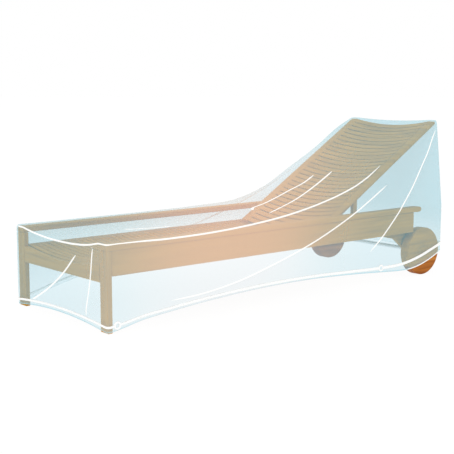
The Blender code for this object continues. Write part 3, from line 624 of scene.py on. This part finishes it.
def topPanel(edges, look=cover):
    # the top: a patch blended from its four edges in plan, (1 - v) near + v far + (1 - u) foot + u head less
    # the corners. Within r of an edge it rounds down by r - sqrt(r^2 - (r - d)^2) at distance d from the wall
    near, far, foot, head = (edges[k]["seam"] for k in ("near", "far", "foot", "head"))
    u = ((near[:, 0] - near[0, 0]) / (near[-1, 0] - near[0, 0]))[:, None, None]
    v = ((foot[:, 1] - foot[0, 1]) / (foot[-1, 1] - foot[0, 1]))[None, :, None]
    corners = ((1 - u) * ((1 - v) * near[0] + v * far[0]) + u * ((1 - v) * near[-1] + v * far[-1]))
    plan = (1 - v) * near[:, None] + v * far[:, None] + (1 - u) * foot[None] + u * head[None] - corners
    x, y = plan[..., 0], plan[..., 1]
    half = look["railHalf"] - smoothColumn(coverSections, 3, x)
    toSide = half - np.abs(y)
    toEnd = np.minimum(x - look["start"], look["end"] + look["headLean"] - x)
    wall = cornerDistance(toSide, toEnd, look["cornerRadius"])
    fold = look["foldRadius"]
    inward = np.clip(fold - wall, 0, fold * np.sqrt(0.5))
    share = (y + half) / (2 * half)
    z = topHeight(x, share) - (fold - np.sqrt(fold ** 2 - inward ** 2))
    return np.stack([x, y, z], axis=-1), wall


def cornerDistance(one, other, r):
    # distance inwards from two walls whose corner turns on a radius r: the lesser of the two distances, and
    # r - sqrt((r - one)^2 + (r - other)^2) where both are under r
    rounded = r - np.hypot(np.maximum(r - one, 0), np.maximum(r - other, 0))
    return np.where((one < r) & (other < r), rounded, np.minimum(one, other))


def wallPanel(edge, hem, tape, look=cover):
    # an upright panel, row by row: the hem's turning inside, its fold, then the face up to the seam. The face
    # stands upright to the rail and leans in above it, and ends in r (1 - cos t) inwards, r sin t up
    r = look["hemFold"]
    fold = look["foldRadius"]
    turn = np.radians(np.linspace(0, 180, look["foldSteps"]))[:, None]
    bend = np.radians(np.linspace(0, 45, look["foldSteps"]))[1:, None]
    tapeHalf = np.interp(edge["low"][:, 0], (look["start"], look["end"]), look["tapeWide"]) / 2
    tapeLow, tapeHigh = tape - tapeHalf, tape + tapeHalf
    faceTop = edge["top"] - fold
    share = np.linspace(0, 1, look["sideRows"] + 1)[:, None]
    heights = np.concatenate([
        [hem + look["hemTurn"]], [hem + look["hemTurn"] / 2], hem + r - r * np.sin(turn),
        [(hem + tapeLow) / 2], [tapeLow], [tapeHigh],
        (tapeHigh + share * (faceTop - tapeHigh))[1:], faceTop + fold * np.sin(bend)])
    inward = np.concatenate([
        np.full((2, len(hem)), 2 * r), r * (1 + np.cos(turn)) * np.ones(len(hem)),
        np.zeros((look["sideRows"] + 3, len(hem))), fold * (1 - np.cos(bend)) * np.ones(len(hem))])
    seamHeight = edge["top"] - (1 - np.sqrt(0.5)) * fold
    leanFrom = np.minimum(look["railTop"], seamHeight - look["leastLean"])
    lean = np.clip((heights - leanFrom) / (seamHeight - leanFrom), 0, 1)[..., None]
    plan = edge["low"] + lean * (edge["wall"] - edge["low"]) - inward[..., None] * edge["out"]
    return np.concatenate([plan, heights[..., None]], axis=-1)


hemRows = 12  # rows of an upright panel's grid up to the tape's upper edge
tapeRows = (10, 11)  # the rows of the tape's lower and upper edge


def joinCorners(edges):
    # neighbouring panels share their corner points: each pair of ends is set to its mean
    for side, column, end, row in (("near", 0, "foot", 0), ("near", -1, "head", 0), ("far", 0, "foot", -1),
                                   ("far", -1, "head", -1)):
        for part in ("low", "wall", "out", "seam"):
            mean = (edges[side][part][column] + edges[end][part][row]) / 2
            edges[side][part][column] = mean
            edges[end][part][row] = mean


def coverPanels(look=cover):
    # the five panels as grids, with what the creases and the tape need to know of them
    edges = topEdges()
    joinCorners(edges)
    for edge in edges.values():
        x, y = edge["seam"].T
        half = look["railHalf"] - smoothColumn(coverSections, 3, x)
        edge["top"] = topHeight(x, (y + half) / (2 * half))
    top, wall = topPanel(edges)
    places = edges["near"]["low"][:, 0]
    hems = {"near": [smoothColumn(hemSections, k, places) for k in (1, 2)],
            "far": [smoothColumn(hemSections, k, places) for k in (3, 4)]}
    across = edges["foot"]["low"][:, 1]
    part = (across - across[0]) / (across[-1] - across[0])
    arch = 4 * part * (1 - part)
    for end, row, rises in (("foot", 0, look["footRises"]), ("head", -1, (0.0, 0.0))):
        hems[end] = [near[row] + part * (far[row] - near[row]) + lift * arch
                     for near, far, lift in zip(hems["near"], hems["far"], rises)]
    grids = {name: wallPanel(edges[name], *hems[name]) for name in edges}
    # the top's rim is the upright panels' last row
    top[:, 0], top[:, -1] = grids["near"][-1], grids["far"][-1]
    top[0], top[-1] = grids["foot"][-1], grids["head"][-1]
    grids["top"] = top
    return grids, edges, hems, wall


def seamCrease(name, x, y, toSeam, line=seamLine):
    # the pale painted highlight just below the near and foot edges: distance from it, and its half width,
    # which thins out to both ends
    where, drop = np.array(line[name]).T
    signed = toSeam - np.interp(x if name == "near" else y, where, drop)
    fade = fadeOver(x, *line["sideFade"]) * fadeOver(y, *line["footFade"][::-1])
    width = np.where(fade > 0.01, line["halfWidth"] * fade ** 0.5, noLine)
    return np.stack([signed, width, np.full(x.shape, line["strength"])], axis=-1)


def dressPanel(name, grid, hems, wall, look=cover, line=seamLine):
    # raises the panel's folds and slack waves outwards, and works out its crease attribute
    axes = {"near": (0, 2), "far": (0, 2), "foot": (1, 2), "head": (1, 2), "top": (0, 1)}[name]
    first, second = grid[..., axes[0]], grid[..., axes[1]]
    lift, crease = foldFields(folds[name], first, second)
    lift = lift + look["billow"] * billow(first, second, len(name))
    x, y = grid[..., 0], grid[..., 1]
    inset = (1 - np.sqrt(0.5)) * look["foldRadius"]
    if name == "top":
        hold = rise(wall, inset, look["topHold"])
    else:
        steps = np.linalg.norm(np.diff(grid, axis=0), axis=-1)
        toSeam = np.concatenate([np.cumsum(steps[::-1], axis=0)[::-1], np.zeros((1, grid.shape[1]))])
        hold = rise(toSeam, *look["seamHold"]) * rise(grid[..., 2] - hems[1], *look["tapeHold"])
        hold[:hemRows] = 0
    grid = grid + outwards[name] * gridNormals(grid) * (lift * hold)[..., None]
    if name in ("near", "foot"):
        onLine = seamCrease(name, x, y, toSeam)
        mine = np.abs(onLine[..., 0]) < line["reach"]
        crease[mine] = onLine[mine]
        # the hem's fold line: grey painted shade, turning into a white painted highlight near the wheel on
        # the near side
        white = rise(x, *line["hemWhite"])[:hemRows] * (name == "near")
        above = grid[:hemRows, :, 2] - hems[0]
        grey, pale = line["hemEdge"]
        crease[:hemRows] = np.stack([above, grey + white * (pale - grey), 1.9 * white - 1], axis=-1)
        crease[tapeRows[0]:hemRows, :, 1] = noLine
    return grid, crease


outwards = {"near": 1, "head": 1, "far": -1, "foot": -1, "top": -1}
# the CAD node that each panel stands for, its cut (width and length in metres, and its area in square
# metres), and what it rests on
cuts = {
    "top": ("cover_top", (0.72, 2.24), 1.50, ("top_rail_near", "top_rail_far", "backrest_slatted")),
    "near": ("cover_side_near", (0.68, 2.07), 0.86, ("top_rail_near",)),
    "far": ("cover_side_far", (0.68, 2.07), 0.71, ("top_rail_far",)),
    "foot": ("cover_foot_end", (0.38, 0.73), 0.25, ("top_rail_near", "top_rail_far")),
    "head": ("cover_head_end", (0.68, 0.73), 0.46, ("backrest_slatted",)),
}


def makePanel(name, grid, crease, film):
    # one panel of film as a single sheet, with its crease attribute, which does not light or shade others
    rows, columns = grid.shape[:2]
    faces = gridFaces(rows, columns)
    if outwards[name] < 0:
        faces = faces[:, ::-1]
    piece = addMesh("film_" + name, grid.reshape(-1, 3) - toMiddle, faces, [film])
    setField(piece, "crease", crease)
    thin = np.ones(grid.shape[:2])
    if name in filmLook["tintAtHem"]:
        height, share = filmLook["tintAtHem"][name]
        thin = share + (1 - share) * rise(grid[..., 2], grid[..., 2].min(axis=0), height)
    field = piece.data.attributes.new("thin", "FLOAT", "POINT")
    field.data.foreach_set("value", thin.ravel().astype(np.float32))
    piece.visible_shadow = False
    piece.visible_diffuse = False
    standFor(piece, "film", cuts[name][0])
    return piece


tapeLook = {
    "profile": ((0.00, 0.0004), (0.00, 0.0016), (0.03, 0.0019), (0.15, 0.0020), (0.50, 0.0021),
                (0.85, 0.0020), (0.97, 0.0019), (1.00, 0.0016), (1.00, 0.0004)),  # share of the width, and
    # distance off the film
    "holeHalf": 0.0105,  # how far from an eyelet's centre the tape ends, under the eyelet
    "least": 0.001,  # the shortest step along the tape next to its ends
}


def tapeLines(grids, edges):
    # the tape's lower and upper edge on the film, and the way outwards, once round the cover
    def roundCover(parts):
        return np.concatenate([parts["near"][:-1], parts["head"][:-1], parts["far"][:0:-1],
                               parts["foot"][:0:-1]])
    low, high = (roundCover({k: grids[k][row] for k in edges}) for row in tapeRows)
    out = roundCover({k: edges[k]["out"] for k in edges})
    return low, high, np.column_stack([out, np.zeros(len(out))])


def walkRound(line):
    # the length walked at each point of a closed line, back to its first point
    closed = np.vstack([line, line[:1]])
    return closed, np.concatenate([[0], np.cumsum(np.linalg.norm(np.diff(closed, axis=0), axis=1))])


def readAlong(table, walked, where):
    # a table's columns at these lengths along a line, straight between its rows
    return np.stack([np.interp(where, walked, column) for column in table.T], axis=-1)


def eyeletPlaces(low, high):
    # how far round the tape each eyelet's centre lies: to the nearest point, and the rest along the tape. And
    # how far round each point of the tape lies
    line = (low + high) / 2
    closed, walked = walkRound(line)
    places = []
    for side in ("near", "far"):
        for end in ("foot", "head"):
            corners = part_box(f"eyelet_{side}_{end}")
            centre = np.array((corners[0] + corners[1]) / 2) + toMiddle
            k = np.linalg.norm(line - centre, axis=1).argmin()
            ahead = closed[k + 1] - line[k]
            places.append(walked[k] + (centre - line[k]) @ ahead / np.linalg.norm(ahead))
    return np.sort(places), walked


def makeTape(low, high, out, places, walked, outer, inner, look=tapeLook):
    # the hem tape in four strips that end under the eyelets, whose holes stay open: its profile carried along
    # each, low + share (high - low) + out lift
    share, lift = np.array(look["profile"]).T
    count = len(share)
    length = walked[-1]
    table = np.column_stack([low, high, out])
    table = np.vstack([table, table, table[:1]])
    along = np.concatenate([walked[:-1], walked + length])
    starts = places + look["holeHalf"]
    ends = np.append(places[1:], places[0] + length) - look["holeHalf"]
    points, faces, index, uvs, total = [], [], [], [], 0
    for start, end in zip(starts, ends):
        between = along[(along > start + look["least"]) & (along < end - look["least"])]
        where = np.concatenate([[start], between, [end]])
        rows = readAlong(table, along, where)
        base, top, away = rows[:, None, 0:3], rows[:, None, 3:6], rows[:, None, 6:9]
        ring = base + share[None, :, None] * (top - base) + lift[None, :, None] * away
        wide = np.linalg.norm(top - base, axis=-1)
        cells = gridFaces(len(where), count, closed=True)
        caps = np.stack([np.arange(count)[::-1], np.arange(count) + (len(where) - 1) * count])
        faces += [*(cells + total), *(caps + total)]
        onBack = np.arange(len(cells)) % count == count - 1
        index += [*onBack.astype(int), 0, 0]
        points.append(ring.reshape(-1, 3))
        across = np.stack([np.broadcast_to(where[:, None], ring.shape[:2]), share[None] * wide], axis=-1)
        uvs.append(across.reshape(-1, 2))
        total += len(points[-1])
    piece = addMesh("hem_tape_woven", np.concatenate(points) - toMiddle, faces, [outer, inner])
    piece.data.polygons.foreach_set("material_index", index)
    layer = piece.data.uv_layers.new(name="weave")
    corner = np.empty(len(piece.data.loops), int)
    piece.data.loops.foreach_get("vertex_index", corner)
    layer.data.foreach_set("uv", np.concatenate(uvs)[corner].reshape(-1))
    turnOutwards(piece)
    standFor(piece, "tape", "hem_tape")
    return piece


stitching = {
    "pitch": 0.0040,  # from one stitch to the next
    "half": (0.00145, 0.00035),  # half a stitch's length and thickness
    "spindle": (-0.95, -0.6, 0.6, 0.95),  # where along half its length its rings of points lie
    "rows": (0.14, 0.86),  # where the two rows run, as a share of the tape's width
    "face": 0.0020,  # how far off the film the tape's face is
    "free": 0.0135,  # the nearest a stitch comes to an eyelet's centre
    "ahead": 0.001,  # how far ahead the way of a stitch is read
}


def makeStitches(low, high, out, places, thread, look=stitching):
    # two rows of stitches on the tape's face. Each is a spindle of four sides: at share s of its length, from
    # -1 to 1, it is sqrt(1 - s^2) of its full thickness
    long, thick = look["half"]
    share = np.array(look["spindle"])
    girth = np.sqrt(1 - share ** 2)
    turn = np.radians([45, 135, 225, 315])
    spots = []
    for row in look["rows"]:
        line = low + row * (high - low) + look["face"] * out
        closed, walked = walkRound(line)
        length = walked[-1]
        count = int(length / look["pitch"])
        where = (np.arange(count) + 0.5) * length / count
        gaps = np.abs((where[:, None] - places[None] + length / 2) % length - length / 2)
        where = where[gaps.min(axis=1) > look["free"]]
        centre = readAlong(closed, walked, where)
        ahead = readAlong(closed, walked, where + look["ahead"]) - centre
        ahead /= np.linalg.norm(ahead, axis=1, keepdims=True)
        side = np.stack([ahead[:, 1], -ahead[:, 0], 0 * where], axis=-1)
        side /= np.linalg.norm(side, axis=1, keepdims=True)
        up = np.cross(side, ahead)
        around = np.cos(turn)[:, None] * side[:, None, None] + np.sin(turn)[:, None] * up[:, None, None]
        spots.append(centre[:, None, None] + long * share[:, None, None] * ahead[:, None, None]
                     + thick * girth[:, None, None] * around)
    points = np.concatenate(spots)
    count, rings, sides = points.shape[:3]
    one = [*gridFaces(rings, sides, closed=True), np.arange(sides)[::-1],
           np.arange(sides) + (rings - 1) * sides]
    faces = (np.array(one)[None] + (np.arange(count) * rings * sides)[:, None, None]).reshape(-1, 4)
    piece = addMesh("tape_stitches", points.reshape(-1, 3) - toMiddle, faces, [thread])
    turnOutwards(piece, merge=True)
    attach(piece, "root")
    return piece


def turned(name, profile, sides, centre, materials, banded=None):
    # a turned piece with its axis across: (radius, y) points swept round, radius (sin a, cos a) from the
    # centre. The profile's steps from the first to the second of banded take the second material
    radius, out = np.array(profile).T
    turn = 2 * np.pi * np.arange(sides) / sides
    ring = np.stack([radius[:, None] * np.sin(turn), out[:, None] * np.ones(sides),
                     -radius[:, None] * np.cos(turn)], axis=-1) + np.array(centre)
    faces = gridFaces(len(radius), sides, closed=True)
    piece = addMesh(name, ring.reshape(-1, 3), faces, materials)
    if banded:
        row = np.repeat(np.arange(len(radius) - 1), sides)
        index = ((row >= banded[0]) & (row < banded[1])).astype(int)
        piece.data.polygons.foreach_set("material_index", index)
    return piece


eyelet = {
    "hole": 0.0085,  # radius of the hole
    "halfThick": 0.0015,
    "squareness": 0.6,  # 1 makes the ring's section an oval, less a rounded oblong
    "points": 20,  # round the section
    "sides": 64,
}


def makeEyelets(plastic, look=eyelet):
    # four moulded rings round the tape: a flattened ring whose section is a rounded oblong,
    # sign(cos) |cos|^0.6 wide and sign(sin) |sin|^0.6 thick
    turn = 2 * np.pi * np.arange(look["points"] + 1) / look["points"]
    wide, thick = (np.sign(way) * np.abs(way) ** look["squareness"] for way in (np.cos(turn), np.sin(turn)))
    pieces = []
    for side in ("near", "far"):
        for end in ("foot", "head"):
            low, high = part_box(f"eyelet_{side}_{end}")
            radius = (high.z - low.z) / 2
            mean, half = (radius + look["hole"]) / 2, (radius - look["hole"]) / 2
            profile = list(zip(mean + half * wide, look["halfThick"] * thick))
            piece = turned(f"eyelet_ring_{side}_{end}", profile, look["sides"], (low + high) / 2, [plastic])
            turnOutwards(piece, merge=True)
            standFor(piece, "eyelet", f"eyelet_{side}_{end}")
            pieces.append(piece)
    return pieces


wheel = {
    "edge": 0.006,  # radius of the rounded rim
    "deep": 0.052,
    "hub": 0.022,
    "recess": (0.030, 0.0015),  # radius and depth of the shallow turned recess round the axle
    "faceRing": 0.6,  # share of the radius where the flat face is divided
    "rimSteps": 6,  # points round each rounded rim
    "rimOnTread": 4,  # and how many of them the tread takes at the front
    "sides": 96,
}


def makeWheels(near, far, look=wheel):
    # two turned wooden wheels: a disc with a rounded rim and a shallow ring turned into its face, and a hub
    # behind. Each has a finish for its faces and one for its tread, both painted darker and redder below the
    # hem as shade
    for side, sign, finish in (("near", -1, near), ("far", 1, far)):
        low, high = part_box(f"wheel_{side}")
        radius = (high.z - low.z) / 2
        centre = ((low.x + high.x) / 2, 0.0, (low.z + high.z) / 2)
        outer, inner = (low.y, high.y) if sign < 0 else (high.y, low.y)
        edge, deep, ring, gapShade = look["edge"], look["deep"], *look["recess"]
        bend = np.radians(np.linspace(0, 90, look["rimSteps"] + 1))
        profile = [(0.0, gapShade), (ring, gapShade), (ring + gapShade, 0.0), (radius * look["faceRing"], 0.0)]
        profile += [(radius - edge + edge * np.sin(b), edge - edge * np.cos(b)) for b in bend]
        start = len(profile) - 1 - look["rimOnTread"]
        profile += [(radius - edge + edge * np.cos(b), deep - edge + edge * np.sin(b)) for b in bend]
        end = start + 2 * look["rimOnTread"] + 1
        profile += [(look["hub"], deep), (look["hub"], abs(inner - outer)), (0.0, abs(inner - outer))]
        profile = [(r, outer - sign * w) for r, w in profile]
        piece = turned(f"wheel_turned_{side}", profile, look["sides"], centre, finish, (start, end))
        turnOutwards(piece, merge=True)
        piece.data.set_sharp_from_angle(angle=sharpFrom)
        standFor(piece, "wood", f"wheel_{side}")


seat = {
    "pivot": (0.0, 0.0),  # along and height, where the slope that it lies on starts
    "slope": 0.0,
    "start": 0.032,  # along the slope, where the first slat begins
    "count": 38,
    "pitch": 0.0316,
    "gap": 0.0035,
    "slat": (0.248, 0.266, 0.0030),  # a slat's low and top face, and the radius of its edges
    "side": (0.228, 0.2478, 0.0020),  # the same of the bearer that runs along each side, under the slats
    "across": (0.2977, 0.3257),  # where that runs, from the middle
    "reach": 0.3257,  # how far from the middle the slats reach
    "dish": 0.022,  # how far the slats' middles lie below their ends
}
back = {
    "pivot": (1.235, 0.276),
    "slope": np.radians(31.2),
    "start": 0.002,
    "count": 29,
    "pitch": 0.0329,
    "gap": 0.0035,
    "slat": (-0.014, 0.0, 0.0030),
    "side": (-0.014, 0.0, 0.0030),  # of the stiles, which the slats run between
    "across": (0.241, 0.286),
    "reach": 0.241,
    "dish": 0.024,
}
slatStations = 25  # points along each slat
gapShadeDeep = 0.004  # how far down a slat's side its painted shade takes to reach its full darkness
gapShadeFrom = 0.25  # and the share of that before it starts


def roundedLoop(wide, low, high, radius, steps=3):
    # a rounded rectangle as one closed loop of (place, height), from 0 to wide and from low to high: each
    # corner's centre + radius (cos a, sin a)
    turn = np.radians(np.linspace(0, 90, steps + 1))
    corners = ((wide - radius, high - radius, 0), (radius, high - radius, 90), (radius, low + radius, 180),
               (wide - radius, low + radius, 270))
    return np.concatenate([np.column_stack([x + radius * np.cos(turn + np.radians(a)),
                                            z + radius * np.sin(turn + np.radians(a))])
                           for x, z, a in corners])


def boardRow(loop, starts, stations, swap=False):
    # boards side by side: the loop stands at each start and is carried along the stations. Returns the points
    # as (first, second, height), the faces, and for each point its board's tone and its share of painted
    # shade in the gap
    starts, stations = np.array(starts, float), np.array(stations, float)
    shape = (len(starts), len(stations), len(loop))
    first = np.broadcast_to(starts[:, None, None] + loop[:, 0], shape)
    second = np.broadcast_to(stations[None, :, None], shape)
    height = np.broadcast_to(loop[:, 1], shape)
    if swap:
        first, second = second, first
    count = shape[1] * shape[2]
    sides = gridFaces(shape[1], shape[2], closed=True)
    offsets = (np.arange(shape[0]) * count)[:, None, None]
    quads = (sides[None] + offsets).reshape(-1, 4)
    ends = np.stack([np.arange(shape[2])[::-1], np.arange(shape[2]) + count - shape[2]])
    caps = (ends[None] + offsets).reshape(-1, shape[2])
    tone = np.broadcast_to(draw.random(shape[0])[:, None, None], shape)
    # painted shade down the slats' sides
    below = loop[:, 1].max() - height
    gapShade = np.clip(below / gapShadeDeep - gapShadeFrom, 0, 1)
    field = np.stack([tone, gapShade * (0.0 if swap else 1.0), 0 * tone], axis=-1)
    return np.stack([first, second, height], axis=-1).reshape(-1, 3), quads, caps, field.reshape(-1, 3)


def makeSlats(name, node, wood, look):
    # one piece: slats that lie dish (1 - (y / inner)^2) below their ends, with a straight board at each side,
    # at (u, y, w) along, across and above the slope: (u cos - w sin, y, u sin + w cos) from its pivot
    inner, outer = look["across"]
    pitch, gap, start, count = (look[key] for key in ("pitch", "gap", "start", "count"))
    slats = boardRow(roundedLoop(pitch - gap, *look["slat"]), start + pitch * np.arange(count),
                     np.linspace(-look["reach"], look["reach"], slatStations))
    sides = boardRow(roundedLoop(outer - inner, *look["side"]), (-outer, inner),
                     (start, start + pitch * count - gap), swap=True)
    faces, total = [], 0
    for found, quads, caps, field in (slats, sides):
        faces += [*(quads + total), *(caps + total)]
        total += len(found)
    u, y, w = np.concatenate([slats[0], sides[0]]).T
    cos, sin = np.cos(look["slope"]), np.sin(look["slope"])
    x = look["pivot"][0] + u * cos - w * sin
    z = look["pivot"][1] + u * sin + w * cos - look["dish"] * np.maximum(0, 1 - (y / inner) ** 2)
    piece = addMesh(name, np.column_stack([x, y, z]) - toMiddle, faces, [wood])
    setField(piece, "board", np.concatenate([slats[3], sides[3]]))
    turnOutwards(piece)
    piece.data.set_sharp_from_angle(angle=sharpFrom)
    standFor(piece, "wood", node)


def makeRoom(look=room):
    # sky, floor, light and camera
    world = bpy.data.worlds.new("white studio")
    scene.world = world
    world.use_nodes = True
    sky = world.node_tree.nodes["Background"]
    sky.inputs["Color"].default_value = toLinear(look["sky"])
    sky.inputs["Strength"].default_value = look["skyStrength"]
    material, add, _ = newMaterial("white studio floor")
    shade = add("BsdfDiffuse", {"Color": [look["floorShare"]] * 3 + [1.0]})
    glow = add("Emission", {"Color": toLinear(look["floorColour"]), "Strength": look["floorGlow"]})
    both = add("AddShader", {0: shade, 1: glow})
    add("OutputMaterial", {"Surface": both}, out=None)
    sides = look["floorSides"]
    turn = 2 * np.pi * np.arange(sides) / sides
    ring = look["floorRadius"] * np.stack([np.cos(turn), np.sin(turn), 0 * turn], axis=-1)
    addMesh("floor", ring, [tuple(range(sides))], [material], smooth=False)
    light = bpy.data.lights.new("soft light", "AREA")
    light.shape = "DISK"
    light.size = look["keySize"]
    light.energy = look["keyPower"]
    toAim = Vector(look["keyAim"]) - Vector(look["keyPlace"])
    eye = bpy.data.cameras.new("photograph")
    eye.lens = look["lens"]
    eye.sensor_width = 36.0
    eye.clip_end = 200.0
    for data, place, way in ((light, look["keyPlace"], toAim.to_track_quat("-Z", "Y").to_euler()),
                             (eye, look["eyePlace"], np.radians(look["eyeTurn"]))):
        item = bpy.data.objects.new(data.name, data)
        item.location = place
        item.rotation_euler = way
        scene.collection.objects.link(item)
    scene.camera = item
    scene.view_settings.view_transform = "Standard"


makeRoom()
print("room done")

boards = {
    "x": ("top_rail_near", "top_rail_far", "side_board_near", "side_board_far", "rear_block_far",
          "spacer_near", "spacer_far", "wheel_bracket_near", "wheel_bracket_far", "pivot_block_near",
          "pivot_block_far"),
    "y": ("foot_board", "prop_rail", "head_board"),
    "z": ("leg_near", "leg_far", "prop_near", "prop_far"),
}
finishes = {name: makeWood("oiled hardwood " + name, axis, k + 1)
            for k, (axis, name) in enumerate((axis, name) for axis in boards for name in boards[axis])}
finishes["axle"] = makePlain("zinc plated steel")
for name, finish in finishes.items():
    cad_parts[name].data.materials.clear()
    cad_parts[name].data.materials.append(finish)
makeSlats("seat_slatted", "seat_slats", makeWood("oiled hardwood seat", "y", 21, slats=True), seat)
makeSlats("backrest_slatted", "backrest", makeWood("oiled hardwood backrest", "y", 22, slats=True), back)
# the wheels' finishes are painted darker and redder below the hem, as shade
makeWheels([makeWood("oiled hardwood near wheel", "x", 31, "shadedBelowHem"),
            makeWood("oiled hardwood near tread", "x", 32, "shadedTread")],
           [makeWood("oiled hardwood far wheel", "x", 33, "shadedBelowHem", "far"),
            makeWood("oiled hardwood far tread", "x", 34, "shadedTread", "far")])
print("lounger done")

film = makeFilm()
grids, edges, hems, wall = coverPanels()
for name in ("top", "near", "far", "foot", "head"):
    grid, crease = dressPanel(name, grids[name], hems.get(name), wall)
    makePanel(name, grid, crease, film)
    print("panel", name, grid.shape, "done")
low, high, out = tapeLines(grids, edges)
places, walked = eyeletPlaces(low, high)
# painted light: both tape materials glow a little, the back of the tape more
tape = makeTape(low, high, out, places, walked,
                makeWebbing("woven polyester tape", "eef0ee", "ffffff", paintedGlow=0.06),
                makeWebbing("back of the woven tape", "f2f6f6", "ffffff", paintedGlow=0.15))
stitches = makeStitches(low, high, out, places, makePlain("white polyester thread"))
eyelets = makeEyelets(makePlain("white moulded polypropylene"))
print("tape, stitches and eyelets done")
